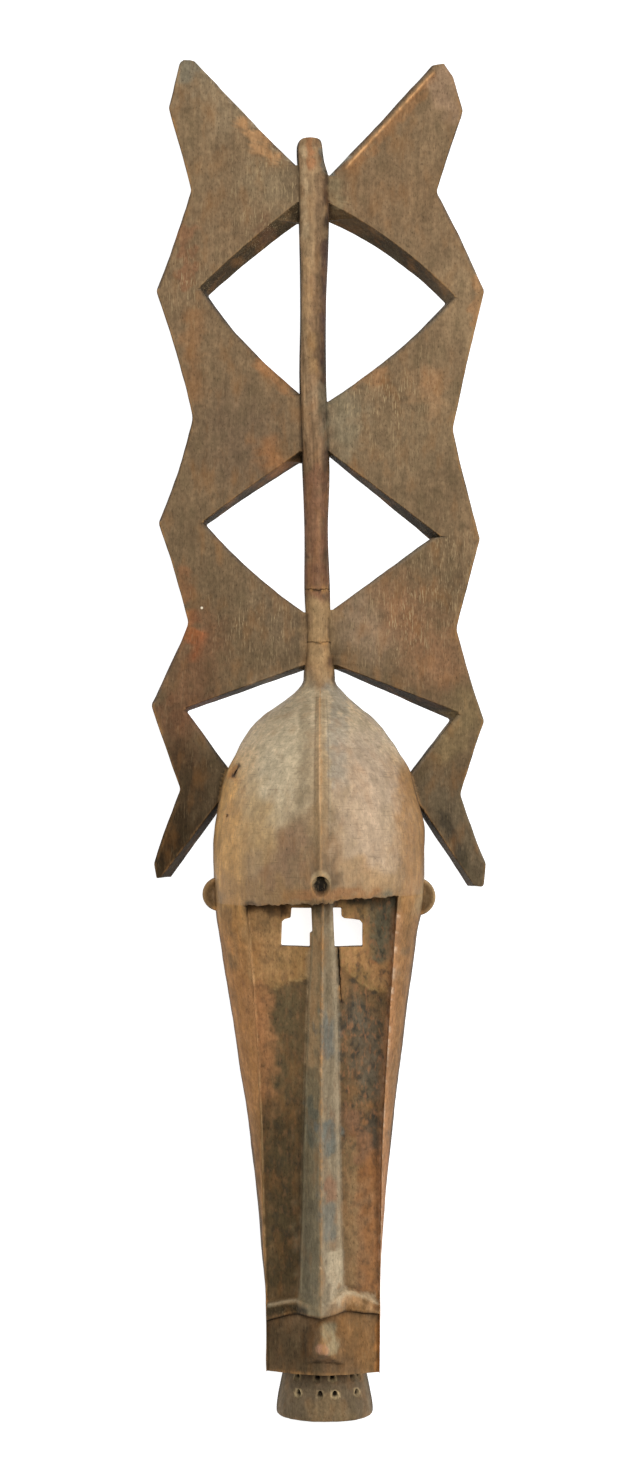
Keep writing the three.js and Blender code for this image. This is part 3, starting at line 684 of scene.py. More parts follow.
# Bores for ties, burned in on a slant: two rows in the collar, each bore turned about Y, and one
# at the foot of the keel. Kept as centre, lean, turn, radius of the mouth and how pale it is
bores = []
for bore_y, degrees, paleness in (
    (-753, -42, 0.7), (-753, -10.5, 0.3), (-753, 11, 0.8), (-753, 42, 0.3), (-753, 55, 0.5),
    (-772, -36.5, 0.9), (-772, -6, 0.3), (-772, 13.5, 0.9), (-772, 46, 0.6),
):
    turn = math.radians(degrees)
    radius = float(along(COLLAR_RADIUS, bore_y))
    centre = (COLLAR_X + radius * math.sin(turn), bore_y, radius * math.cos(turn))
    bores.append((centre, BORE_LEAN, turn, 4.2, paleness))
bores.append(((0.8, -163.5, 186), FOREHEAD_BORE_LEAN, 0.0, 8.8, 0.4))
for centre, lean, turn, wide, _ in bores:
    profile = [(1.5, -28), (0.45 * wide, -8), (0.64 * wide, -2.6), (wide, 0)]
    profile += [(1.2 * wide, 2.2), (1.26 * wide, 5), (1.5 * wide, 14)]
    cut_away.append(piece_from_grid("bore", turned_grid(profile, centre, lean, turn)))


def crack_grid(path, width, depth):
    """Wedge along a path of [x, y, z] points on the surface: on each point a triangle across the
    path, open at the top and depth deep, whose width fades out towards both ends."""
    way = np.gradient(path[:, :2], axis=0)
    way /= np.linalg.norm(way, axis=1)[:, None]
    fade = 0.25 + 0.75 * np.sqrt(np.sin(np.linspace(0, math.pi, len(path))))
    side = np.column_stack([-way[:, 1], way[:, 0]]) * (0.5 * width * fade)[:, None]
    rings = []
    for shift, height in ((-1, 4), (1, 4), (0, -depth)):
        rings.append(np.column_stack([path[:, :2] + shift * side, path[:, 2] + height]))
    return np.stack(rings, 1)


# Cracks as path, width and depth: a split beside the nose, a slot in the dome's left side and two
# checks, cracks from drying, across the pole
split_y = np.linspace(-238, -307, 14)
split_x = (
    21 + 3.4 * (-243 - split_y) / 62 + 0.5 * np.sin(0.55 * split_y) + 0.3 * np.sin(1.7 * split_y)
)
slot = [(-94, -34, 94), (-96, -38, 92), (-98.5, -42.5, 89), (-100.5, -46.5, 87)]
cracks = [
    (np.column_stack([split_x, split_y, np.full(len(split_y), 106.5)]), 3, 7),
    (np.array(slot, float), 3.6, 10),
]
for level, width, depth in ((172.7, 1.6, 2.6), (110.5, 0.9, 1.2)):
    across = np.linspace(0.03, 0.97, 15)
    up = np.sin(np.arccos(2 * across - 1)) ** POLE_BULGE
    check_x = mix(along(POLE_LEFT, level), along(POLE_RIGHT, level), across)
    check_y = level + 0.8 * np.sin(across * 9) + 0.4 * np.sin(across * 31)
    check_z = POLE_HEIGHT * mix(POLE_SIDE_SHARE, 1, up)
    cracks.append((np.column_stack([check_x, check_y, check_z]), width, depth))
for path, width, depth in cracks:
    cut_away.append(piece_from_grid("crack", crack_grid(path, width, depth)))
nail = [(1.4, -10), (2.2, -2), (2.8, 0), (3.4, 8)]
cut_away.append(piece_from_grid("nail_hole", turned_grid(nail, (-112, -92, 99), turn=-0.9)))

for operation, others in (("UNION", joined), ("DIFFERENCE", cut_away)):
    for other in others:
        tool = mask.modifiers.new(other.name, "BOOLEAN")
        tool.operation = operation
        tool.solver = "MANIFOLD"
        tool.object = other
combined = mask.evaluated_get(bpy.context.evaluated_depsgraph_get())
mask.data = bpy.data.meshes.new_from_object(combined)
mask.modifiers.clear()
for other in joined + cut_away:
    bpy.data.objects.remove(other)


def ripple(points, size, seed):
    """Soft random field between about -1 and 1: plane waves some size long, in random directions,
    added up. Size is in millimetres along X, Y and Z."""
    rng = np.random.default_rng(seed)
    total = np.zeros(len(points))
    for _ in range(16):
        way = rng.normal(size=3)
        way = way / np.linalg.norm(way) * 2 * math.pi * rng.uniform(0.6, 1.7) / np.array(size)
        total += np.sin(points @ way + rng.uniform(0, 2 * math.pi))
    return total / 4


def read(source, key, width, kind=float):
    """Values of a mesh's vertices or edges as an array with a row for each."""
    values = np.empty(len(source) * width, kind)
    source.foreach_get(key, values)
    return values.reshape(-1, width)


count = len(mask.data.vertices)
place = read(mask.data.vertices, "co", 3) * 1000
normal = read(mask.data.vertices, "normal", 3)
start, stop = read(mask.data.edges, "vertices", 2, int).T
edges_at = np.bincount(start, minlength=count) + np.bincount(stop, minlength=count)


def gathered(at_start, at_stop):
    """Mean over each vertex's edges of what they bring to their start and to their stop."""
    return (np.bincount(start, at_start, count) + np.bincount(stop, at_stop, count)) / edges_at


def spread(values, times):
    """Each value mixed with the mean of its neighbours along the mesh's edges, several times."""
    for _ in range(times):
        values = 0.5 * values + 0.5 * gathered(values[stop], values[start])
    return values


# Bend of the surface at each point, per millimetre: above zero on edges, below it in corners
run = place[stop] - place[start]
turned = np.sum((normal[stop] - normal[start]) * run, 1)
bend = turned / np.maximum(np.sum(run * run, 1), 0.05)
bend = np.clip(spread(gathered(bend, bend), 2), -0.5, 0.5)
edge_wear = spread(np.clip((bend - 0.02) / 0.16, 0, 1), 2)
# Darkening in corners and creases: the dirt of the hollows together with painted shade
corner_dirt_and_shade = spread(np.clip((-bend - 0.01) / 0.12, 0, 1), 5)

# The pole flows into the dome without an edge
near_neck = step((place[:, 1] - 26) / 14) * step((90 - place[:, 1]) / 14)
near_neck *= step((64 - np.abs(place[:, 0] + 1)) / 14)
near_neck *= step((place[:, 2] - 9 - 20 * step((place[:, 1] - 64) / 8)) / 6)
for _ in range(70):
    for axis in range(3):
        place[:, axis] = mix(place[:, axis], spread(place[:, axis], 1), near_neck)

x, y, z = place.T
nx, ny, nz = normal.T
near_pole = step((40 - np.abs(x + 6)) / 15) * step((y - 70) / 20)
waves = 0.3 * ripple(place, (60, 90, 60), 3) + 0.14 * ripple(place, (14, 30, 14), 4)
place = place + normal * (waves * (1 - 0.75 * near_pole))[:, None]
# The brow is cut unevenly
at_brow = bell(y - along(BROW_LINE, x), 3.5) * step((90 - np.abs(x)) / 6) * step((z - 112) / 10)
uneven = 0.8 * np.sin(0.31 * x + 1) + 0.6 * np.sin(0.83 * x) + 0.4 * np.sin(1.9 * x + 2)
place[:, 1] += at_brow * uneven
mask.data.vertices.foreach_set("co", (place / 1000).ravel())


def linear(code):
    """Linear colour of an sRGB hex code."""
    value = np.array([int(code[i : i + 2], 16) / 255 for i in (1, 3, 5)])
    return np.where(value <= 0.04045, value / 12.92, ((value + 0.055) / 1.055) ** 2.4)


def blend_in(colours, layers):
    """Colours with layers of [hex code, share from 0 to 1] laid over them one after the other."""
    for code, share in layers:
        colours = mix(colours, linear(code), np.clip(share, 0, 1)[:, None])
    return colours


def soft(value, low, high):
    """0 up to low, 1 from high, and a smooth cubic in between."""
    return step((value - low) / (high - low))


# Where the forms are, each from 0 to 1
left_side, right_side = along(HEAD_LEFT, y), along(HEAD_RIGHT, y)
frame_left, frame_right = along(FRAME_LEFT, y), along(FRAME_RIGHT, y)
step_y = along(STEP_LINE, x)
on_left, on_right = x < 0, x > 0
on_head = soft(x - left_side, -3, -1) * soft(right_side - x, -3, -1) * soft(-y, -86, -46)
below_brow = soft(along(BROW_LINE, x) - y, -0.5, 1)
in_frame = soft(x - frame_left, -1, 1) * soft(frame_right - x, -1, 1)
on_band = soft(x / left_side, 0.58, 0.82) * on_left + soft(x / right_side, 0.62, 0.82) * on_right
on_side = on_head * mix(on_band, 1 - in_frame, below_brow)
on_nose = soft(x - along(NOSE_LEFT, y), -1, 1) * soft(along(NOSE_RIGHT, y) - x, -1, 1)
on_nose *= soft(y, -668, -664)
on_dome = on_head * (1 - below_brow)
on_face = on_head * below_brow
on_floor = on_face * in_frame * (1 - on_nose) * soft(y, -648, -640)
on_pole = (1 - on_head) * soft(z, 6, 16) * soft(20 - np.abs(x + 6), 0, 2) * soft(y, 50, 60)
on_front = soft(nz, -0.2, 0.1)
# Walls on the face's left that face the right lamp: they get painted light instead of painted shade
lit_wall = soft(nx, 0.3, 0.6) * soft(-x, 20, 25)
rough_line = np.clip(0.5 + 0.6 * ripple(place, (7, 7, 7), 11), 0, 0.9)

# Patina: a skin of oil, soot and handling over paler wood, laid down first by the forms, with
# painted shade where some walls and slopes face away from the lamps and painted highlights where
# others face them
tone = blend_in(np.tile(linear("#67543c"), (count, 1)), [
    ("#876e51", soft(y, -150, 650) * (1 - on_head) * on_front),
    ("#8a6d50", on_pole),
    ("#3f302a", 0.85 * on_pole * soft(nx, 0.2, 0.7)),
    ("#6b543b", 0.5 * on_pole * soft(-nx, 0.75, 1) * soft(-y, -570, -470)),
    ("#b49570", 0.5 * on_pole * soft(-x, 11, 17) * soft(y, 330, 360)),
    ("#aa906e", on_dome),
    ("#9b7f5c", 0.8 * on_dome * soft(-y, 90, 150)),
    ("#c19356", on_side * on_left),
    ("#997245", on_side * on_right),
    # Paler where the upper head slopes away from the front: its pale grey wood with a painted sheen
    ("#e0cba8", 0.75 * on_head * soft(y, -50, 0) * soft(0.92 - nz, 0, 0.4)),
    ("#a67646", on_side * on_left * soft(-y, 140, 260)),
    ("#926a42", on_side * on_right * soft(-y, 140, 260)),
    ("#70583b", on_face * in_frame),
    # The nose's right facet is painted lighter than its left: painted light from the right over the
    # nose's own tone
    ("#887a5d", on_face * on_nose * soft(-x, -2, 0)),
    ("#95856b", on_face * on_nose * soft(x, 0, 2)),
    ("#71593f", on_head * soft(-y, 664, 668)),
    ("#70604a", soft(-y, 738, 741)),
    ("#977549", 0.85 * on_floor * soft(y - step_y, -1, 1.5)),
    ("#b0905f", on_floor * rough_line * bell(y - step_y - 0.8, 1.9)),
    # Painted shade on the head's steep lower walls and sides, and a painted highlight on the
    # frame's left inner wall, which faces the right lamp
    ("#2c2013", 0.9 * (1 - lit_wall) * on_head * soft(0.3 - nz, 0, 0.22) * soft(-z, -130, -110)),
    ("#d2ac7c", 0.8 * lit_wall * on_face * soft(y, -650, -640)),
])
# Streaks along the grain on the pole and the side bands
streaks = ripple(place, (4, 70, 4), 8) + 0.6 * ripple(place, (2.4, 40, 2.4), 9)
streaked = np.maximum(0.24 * on_pole, 0.05 * on_head + 0.1 * on_side)
tone *= (1 + np.clip(streaks, -1.6, 1.6) * streaked)[:, None]
# The board's sides and rounded edges are darkened, and the slanting undersides of its wings
# darkened most, all as painted shade, and its chamfers are grey
on_board = (1 - on_head) * soft(-z, -30.5, -28.5) * soft(y, -215, -205)
on_board_side = on_board * soft(0.7 - nz, 0, 0.3)
chamfer = on_board * soft(ny, 0.05, 0.2) * soft(0.97 - nz, 0, 0.06)
# Slanting undersides of the wings, which face down and are darkened as painted shade
bevel = on_board * soft(1 - nz, 0.2, 0.4) * soft(-ny, 0.1, 0.4)
tone = blend_in(tone, [
    ("#77685a", 0.75 * chamfer),
    ("#96866f", 0.7 * chamfer * on_right * (y < 560)),
    ("#37332c", 0.85 * chamfer * soft(0.72 - nz, 0, 0.15)),
    ("#2c2318", 0.85 * on_board * (1 - chamfer) * soft(0.98 - nz, 0, 0.12)),
    ("#2c2318", 0.8 * on_board * soft(0.7 - nz, 0, 0.2)),
    ("#3b2d19", 0.85 * bevel),
    ("#1f1608", 0.88 * bevel * (y < 400)),
])
beside_head = soft(np.abs(x) - np.where(on_left, -left_side, right_side), 0, 2)
edge_wear *= (1 - 0.9 * chamfer) * (1 - 0.4 * on_board) * (1 - 0.6 * on_board_side)
edge_wear *= 1 - 0.6 * beside_head * soft(-np.abs(y + 186), -26, -22)
# The dirt and painted shade in corners is mostly taken off the dome and off the face's left side
corner_dirt_and_shade *= 1 - 0.8 * on_head * (1 - below_brow * soft(x, -50, -40))

# Stains, worn places, painted shadows and painted highlights, each a soft streak from one point to
# another: x, y, x, y, radius, colour and strength. A slow ripple of the surface points breaks up
# their outlines, the small ones' less
wander_x = x + 5 * ripple(place, (22, 30, 30), 5) + 2 * ripple(place, (7, 12, 12), 6)
wander_y = y + 8 * ripple(place, (30, 30, 30), 7)
stains = [
    # board, left wing from the top down
    (-160, 790, -110, 730, 22, "#9c8769", 0.6),
    (-154, 775, -154, 792, 12, "#757262", 0.6),
    (-75, 660, -40, 640, 22, "#8c7b5f", 0.5),
    (-70, 598, -60, 594, 10, "#73503a", 0.4),
    (-152, 730, -150, 660, 22, "#8a7355", 0.5),
    (-92, 716, -60, 684, 9, "#bd8f62", 0.8),
    (-138, 785, -38, 680, 2.5, "#a9967a", 0.7),
    (-160, 600, -158, 540, 10, "#8f6244", 0.6),
    (-150, 500, -150, 400, 12, "#93663f", 0.4),
    (-70, 440, -40, 412, 8, "#a6744a", 0.7),
    (-95, 360, -90, 330, 40, "#6d5845", 0.5),
    (-62, 340, -48, 318, 14, "#9b6a42", 0.7),
    (-160, 195, -153, 135, 8, "#8d5f3d", 0.6),
    (-151, 146, -149, 128, 8, "#9a6240", 0.5),
    (-150, 128, -147, 106, 10, "#ab6238", 0.75),
    (-140, 120, -150, 40, 26, "#764c33", 0.5),
    (-60, 200, -40, 130, 30, "#77644d", 0.5),
    (-170, 20, -165, -20, 18, "#6b4730", 0.6),
    (-160, -40, -170, -130, 28, "#463522", 0.85),
    (-180, -120, -190, -165, 26, "#392a17", 0.95),
    # board, right wing
    (134, 774, 38, 668, 6, "#9d7048", 0.6),
    (165, 540, 170, 480, 22, "#9a805f", 0.6),
    (146, 745, 152, 790, 16, "#a5866a", 0.7),
    (120, 640, 40, 640, 30, "#86694b", 0.5),
    (188, 540, 184, 500, 9, "#a07852", 0.7),
    (46, 412, 70, 430, 9, "#a67c55", 0.7),
    (128, 420, 130, 396, 15, "#a67d57", 0.7),
    (18, 400, 32, 356, 21, "#8e8268", 0.65),
    (16, 652, 20, 625, 8, "#9b8765", 0.8),
    (178, 262, 182, 225, 12, "#9a7d5c", 0.6),
    (95, 330, 150, 380, 34, "#8b7456", 0.5),
    (90, 150, 140, 90, 34, "#916a4b", 0.7),
    (34, 160, 60, 112, 24, "#957d63", 0.7),
    (178, 30, 150, 0, 22, "#8a7450", 0.6),
    (150, -70, 190, -170, 24, "#695b46", 0.75),
    (146, -95, 170, -150, 7, "#453c2f", 0.8),
    # pole
    (-10, 700, -10, 560, 13, "#a98b67", 0.8),
    (7, 640, 5, 420, 4, "#3f312b", 0.85),
    (-13, 702, -11, 674, 6, "#a9744e", 0.8),
    (2, 692, 4, 664, 4, "#7d7667", 0.8),
    (1, 706, 7, 666, 2, "#241e1a", 0.95),
    (14, 664, 34, 685, 3, "#a5a79c", 0.9),
    (-20, 690, -18, 590, 5, "#c2a680", 0.8),
    (-15, 560, -15, 480, 5, "#b8946a", 0.7),
    (0, 660, -1, 470, 6, "#725a42", 0.75),
    (-10, 470, -8, 430, 6, "#a58359", 0.6),
    (9.5, 300, 10.5, 180, 1.6, "#b08a70", 0.8),
    (-19, 300, -17, 180, 3, "#3b2b22", 0.7),
    (8, 580, 5, 480, 5, "#503c36", 0.7),
    (-8, 300, -4, 180, 14, "#805741", 0.7),
    (-2, 150, -2, 90, 16, "#ab8b62", 0.8),
    # dome, its pale patches on the upper left and on the right its pale wood with a painted sheen
    (-38, 28, -54, -60, 32, "#cdbb9a", 0.85),
    (-17, 30, -19, -95, 8, "#8f7d61", 0.5),
    (23, -12, 24, -95, 8, "#93806a", 0.45),
    (-27, -120, -22, -165, 22, "#775c3f", 0.6),
    (2, -85, 3, -176, 15, "#8a6f4c", 0.75),
    (0, -145, 2, -180, 19, "#70573a", 0.75),
    (19, 50, 22, -50, 10, "#a39a89", 0.7),
    # pale wood with a painted sheen on the right flank
    (48, -10, 62, -60, 24, "#b29d86", 0.8),
    (50, -60, 60, -140, 26, "#c0a588", 0.85),
    (40, -150, 70, -172, 16, "#ab875b", 0.7),
    (-36, -180, 64, -178, 7, "#9c6d43", 0.75),
    (-100, -172, -40, -176, 15, "#98754a", 0.6),
    (-72, -85, -70, -120, 20, "#b9955f", 0.6),
    (-30, -120, -60, -160, 14, "#86654b", 0.5),
    (-97, -37, -102, -47, 5, "#b87a3e", 0.8),
    # painted shadow under the brow on the left and at the nose's top, a darker outer edge of the
    # left frame, and dark paint under the brow on the right
    (-80, -197, -34, -204, 8, "#2b2014", 0.95),
    (-2, -193, 8, -204, 9, "#5d4b34", 0.8),
    (-106, -205, -100, -262, 8, "#8a6740", 0.8),
    (34, -190, 76, -190, 5, "#453c2c", 0.8),
    # face, floor of the left half
    (-68, -215, -60, -260, 18, "#ab8558", 0.9),
    (-72, -290, -60, -420, 12, "#ab7b51", 0.8),
    (-40, -300, -38, -400, 17, "#544a33", 0.7),
    (-45, -440, -42, -620, 24, "#463a25", 0.85),
    # face, floor of the right half
    (72, -196, 72, -255, 15, "#696450", 0.9),
    (60, -262, 74, -278, 6, "#a0683f", 0.8),
    (40, -255, 76, -278, 12, "#ad8456", 0.8),
    (45, -330, 60, -400, 20, "#61594a", 0.8),
    (34, -440, 50, -480, 13, "#87634a", 0.7),
    (60, -450, 66, -470, 9, "#474339", 0.8),
    (62, -500, 58, -630, 18, "#9f6b40", 0.8),
    (40, -530, 38, -640, 16, "#95714f", 0.75),
    # nose
    (-6, -210, -10, -375, 8, "#bb9c73", 0.8),
    (9, -205, 12, -300, 7, "#84745a", 0.6),
    (10, -330, 11, -360, 9, "#75756c", 0.8),
    (-10, -430, -11, -460, 9, "#62675b", 0.6),
    (10, -450, 12, -480, 9, "#6e726a", 0.8),
    (12, -515, 13, -530, 8, "#93694e", 0.7),
    (10, -545, 12, -575, 8, "#76766c", 0.7),
    (-13, -540, -14, -640, 11, "#6c634d", 0.6),
    (34, -470, 34, -636, 8, "#927551", 0.75),
    # painted highlight where the top of the ledge and the nose's lower right foot catch the light
    (16, -640, 40, -652, 8, "#bda88a", 0.7),
    (14, -600, 24, -648, 9, "#c2b091", 0.85),
    (26, -644, 68, -652, 5, "#bda684", 0.8),
    (0.8, -311, 0.8, -319, 1.2, "#dcbd92", 0.9),
    (0.8, -370, 0.5, -384, 1.3, "#dcbd92", 0.95),
    (0.8, -430, 0.5, -560, 1.1, "#a58a66", 0.4),
    (1, -470, 1, -555, 4, "#6f6c5e", 0.6),
    (0.5, -603, 0.5, -618, 1.4, "#dcc29c", 0.95),
    # ledge and chin
    (-60, -664, -20, -662, 7, "#352d1e", 0.9),
    (30, -652, 70, -662, 6, "#c3986b", 0.8),
    (-50, -690, -20, -730, 20, "#52422d", 0.85),
    (30, -680, 60, -720, 22, "#9a7044", 0.75),
    (69, -640, 68, -735, 5, "#bd8046", 0.9),
    # mouth: its right flank paler, partly worn and partly painted light, its left flank and lower
    # face darkened as painted shade, and its reddish tip
    (10, -684, 14, -704, 8, "#a19271", 0.85),
    (-14, -686, -14, -712, 8, "#4a3b28", 0.7),
    (2, -715, 8, -719, 6, "#7a6045", 0.8),
    (1, -701, 6, -706, 5, "#ba8a6c", 0.8),
    # collar
    (0, -790, 20, -796, 16, "#8a7352", 0.7),
    # ears
    (-130, -184, -130, -184, 18, "#937550", 0.9),
    (128, -187, 128, -187, 18, "#a08662", 0.9),
]
for x0, y0, x1, y1, radius, code, share in stains:
    run_x, run_y = x1 - x0, y1 - y0
    t = (wander_x - x0) * run_x + (wander_y - y0) * run_y
    t = np.clip(t / max(run_x**2 + run_y**2, 1), 0, 1)
    rough = (0, 0.25, 1)[(radius > 2) + (radius > 8)]
    blur = (0.7, 1.3, 1.8)[(radius >= 11) + (radius >= 20)] * radius
    off_x = mix(x, wander_x, rough) - x0 - t * run_x
    off_y = mix(y, wander_y, rough) - y0 - t * run_y
    inside = radius + 0.5 * blur - np.hypot(off_x, off_y)
    tone = blend_in(tone, [(code, share * on_front * soft(inside, 0, blur))])

# Wood worn pale along the chamfer of the right wing's upper slope, 6 to 8 mm inside its outline
from_top = (792 - y) / 130
inside = 0.732 * (x - 132) - 0.681 * (y - 792)
line = on_board * soft(from_top, 0.03, 0.1) * soft(-from_top, -0.97, -0.9) * on_front
line *= np.clip(0.7 + 0.5 * ripple(place, (8, 8, 8), 12), 0.35, 1)
tone = blend_in(tone, [
    ("#a56f42", 0.7 * line * bell(inside - 8.5 - from_top, 2.6)),
    ("#eab27a", line * bell(inside - 7.2 - from_top, 1.3)),
])
# Painted shade deep in the bores and cracks, and the pale mouths of the bores, partly worn and
# partly a painted highlight
in_bore = np.zeros(count)
for centre, _, turn, wide, paleness in bores:
    off = place - np.array(centre)
    depth = -off @ np.array([math.sin(turn), 0, math.cos(turn)])
    aside = np.sqrt(np.maximum(np.sum(off * off, 1) - depth**2, 0))
    mouth = (depth < 30) * (depth > -6) * soft(1.45 * wide - aside, 0, 0.3 * wide)
    bore_shade = (depth < 30) * (aside < 1.45 * wide) * soft(depth, 2.2, 3.6)
    tone = blend_in(tone, [("#cdb68a", paleness * mouth), ("#130e0a", bore_shade)])
    in_bore = np.maximum(in_bore, bore_shade)
edge_wear *= 1 - in_bore
for path, width, _ in cracks:
    at = np.linspace(0, len(path) - 1, 60)
    fine_x, fine_y = (np.interp(at, np.arange(len(path)), v) for v in path.T[:2])
    near = np.min(np.hypot(x[:, None] - fine_x, y[:, None] - fine_y), 1)
    # painted shade along the inside of each crack
    deep = (np.abs(z - np.mean(path[:, 2])) < 16) * soft(0.5 * width + 0.5 - near, 0, 0.5)
    tone = blend_in(tone, [("#17110c", 0.85 * deep)])

# Lines along the keel, each an x at its top, at its middle and at its foot, with width, colour and
# strength: a pale crest between brown flanks, dark lines of painted shade where shallow grooves run
# beside it, and a pale line beyond on the right
on_keel = on_head * soft(-y, -54, -40) * soft(y, -158, -150) * (0.4 + 0.6 * soft(y, -120, -60))
for x_top, x_middle, x_foot, width, code, share in (
    (-2, -2.2, -3, 3.2, "#93734a", 0.6),
    (4, 4.2, 5, 2.6, "#957852", 0.5),
    (-0.5, -0.25, 0.6, 1.0, "#e6bb8a", 0.9),
    (-4, -5.6, -6, 0.9, "#6b543a", 0.5),
    (7, 9.4, 9.6, 0.8, "#6a5b4a", 0.5),
    (8, 11.2, 11.4, 0.9, "#b3a386", 0.4),
):
    line_x = along([(50, x_top), (0, x_middle), (-155, x_foot)], y)
    tone = blend_in(tone, [(code, share * on_keel * bell(x - line_x, width))])
# Lines rubbed pale on the shoulders of the nose, a painted highlight along the top of the ledge, a
# painted shadow along the ledge's undercut edge, and a broken pale one on the frame's orange inner
# edge on the right
on_shoulders = 0.75 * on_face * soft(y, -655, -640)
crest = along(NOSE_CREST, y)
from_left = x - mix(crest, along(NOSE_LEFT, y), 0.88)
from_right = x - mix(crest, along(NOSE_RIGHT, y), 0.88)
from_frame = x - frame_right - 2
rubbed = on_head * soft(-y, 196, 206) * soft(y, -655, -645)
broken = np.clip(ripple(place, (6, 14, 6), 13), 0, 0.8)
near_ledge = on_head * in_frame * soft(y, -690, -680) * soft(-y, 635, 640)
ledge_highlight = near_ledge * bell(y - along(LEDGE_TOP, x) + 0.5, 1.6)
ledge_shadow = near_ledge * bell(y - along(LEDGE_EDGE, x) + 0.5, 1.8)
tone = blend_in(tone, [
    ("#93866a", on_shoulders * bell(from_left, 1.3)),
    ("#b8a688", on_shoulders * bell(from_right, 3)),
    ("#b5825a", 0.8 * rubbed * bell(from_frame, 5)),
    ("#dcc0a2", rubbed * broken * bell(from_frame + 1, 1)),
    ("#b3a183", 0.75 * ledge_highlight * soft(np.abs(x), 20, 28)),
    ("#2a2016", 0.85 * ledge_shadow),
])
corner_dirt_and_shade *= 1 - 0.7 * rubbed * bell(from_frame, 8)
edge_wear *= (1 - ledge_shadow) * (1 - 0.6 * soft(-y, 738, 741))

# The board is scratched beside the pole and on its outer points, the face hardly at all
scratched = 0.2 + 0.1 * on_dome - 0.15 * on_floor
for at_x, at_y, reach in (
    (-60, 640, 60), (-160, 540, 35), (70, 400, 60), (90, 130, 45), (-70, 130, 40), (150, 200, 50),
):
    scratched += on_board * bell(np.hypot(x - at_x, y - at_y), reach)
# The floor of the face is crusted, most of all in its right half down to the nose's middle
crusted = on_floor * (0.35 + 0.65 * soft(x, 0, 8) * soft(y, -520, -420))
polish = on_head * (1 - below_brow * (1 - 0.7 * on_nose)) * (1 - in_bore)

attributes = mask.data.attributes
patina_values = attributes.new("patina", "FLOAT_COLOR", "POINT").data
patina_values.foreach_set("color", np.column_stack([tone, np.ones(count)]).ravel())
for name, values in (
    ("edge_wear", edge_wear), ("corner_dirt_and_shade", corner_dirt_and_shade), ("polish", polish),
    ("scratched", scratched), ("crusted", crusted),
):
    attributes.new(name, "FLOAT", "POINT").data.foreach_set("value", values)

# Oiled hardwood, adzed and scraped along the grain: a satin skin, fine dark pores and pale scrapes
# that run along Y, and bare orange wood where the edges are rubbed
wood = bpy.data.materials.new("oiled hardwood, adzed and scraped")
wood.use_nodes = True
tree = wood.node_tree


def add(kind, inputs=(), output=0, **settings):
    """New node of a kind, with its settings, and with its inputs set or linked in [socket, value]
    pairs. Gives one of its outputs."""
    made = tree.nodes.new(kind)
    for key, value in settings.items():
        setattr(made, key, value)
    for socket, value in inputs:
        if isinstance(value, bpy.types.NodeSocket):
            tree.links.new(value, made.inputs[socket])
        else:
            made.inputs[socket].default_value = value
    return made.outputs[output]


where = add("ShaderNodeTexCoord", output="Object")
patina = add("ShaderNodeAttribute", output="Color", attribute_name="patina")
worn, hollow_dirt_and_shade, polished, scuffed, crusted = (
    add("ShaderNodeAttribute", output="Fac", attribute_name=name)
    for name in ("edge_wear", "corner_dirt_and_shade", "polish", "scratched", "crusted")
)

# Noise patterns, each shifted by its own amount, with grains so many mm wide and so many mm long,
# turned about Z, and with so many octaves of detail. Real pores and scratches are finer: these are
# as coarse as they need to be to show in the render
patterns = {}
for shift, (name, wide, long, turn, detail) in enumerate((
    ("grain", 1.5, 9, 0, 3), ("streaks", 5, 80, 0, 3), ("clouds", 24, 34, 0, 6),
    ("flecks", 3, 6, 0, 3), ("pores", 1.4, 4, 0, 1), ("scrapes", 1.2, 12, 0.12, 1),
    ("scratches", 1.2, 18, 0.7, 1), ("nicks", 1.3, 9, -0.9, 1), ("mottle", 3.6, 4.6, 0.3, 6),
    ("warmth", 16, 36, 0, 5), ("scabs", 9, 12, 0.5, 6), ("scuffs", 14, 20, 0, 3),
    ("wrinkles", 16, 1.5, 0.05, 2), ("crumbs", 4, 9, 0.4, 8),
), start=1):
    scaled = add("ShaderNodeMapping", [
        (0, where),
        ("Location", (shift, 2 * shift, 3 * shift)),
        ("Rotation", (0, 0, turn)),
        ("Scale", (1000 / wide, 1000 / long, 1000 / wide)),
    ])
    patterns[name] = add("ShaderNodeTexNoise", [(0, scaled), ("Scale", 1.0), ("Detail", detail)])

# Patterns lighten and darken the patina: a pattern's values from low to high become a brightness
# from least to most. The fine ones come first and fade where the head is polished
colour = patina
for name, low, high, least, most in (
    ("grain", 0.25, 0.75, 0.9, 1.1), ("mottle", 0.28, 0.72, 0.8, 1.2),
    ("pores", 0.62, 0.7, 1.0, 0.68), ("scabs", 0.3, 0.7, 0.84, 1.16),
    ("streaks", 0.25, 0.75, 0.86, 1.14), ("clouds", 0.25, 0.75, 0.86, 1.14),
):
    if name == "streaks":
        smoother = add("ShaderNodeMath", [(0, polished), (1, 0.25)], operation="MULTIPLY")
        mixed = [(0, smoother), (6, colour), (7, patina)]
        colour = add("ShaderNodeMix", mixed, output=2, data_type="RGBA")
    scale = [(0, patterns[name]), (1, low), (2, high), (3, least), (4, most)]
    shade = add("ShaderNodeMapRange", scale)
    colour = add("ShaderNodeVectorMath", [(0, colour), ("Scale", shade)], operation="SCALE")

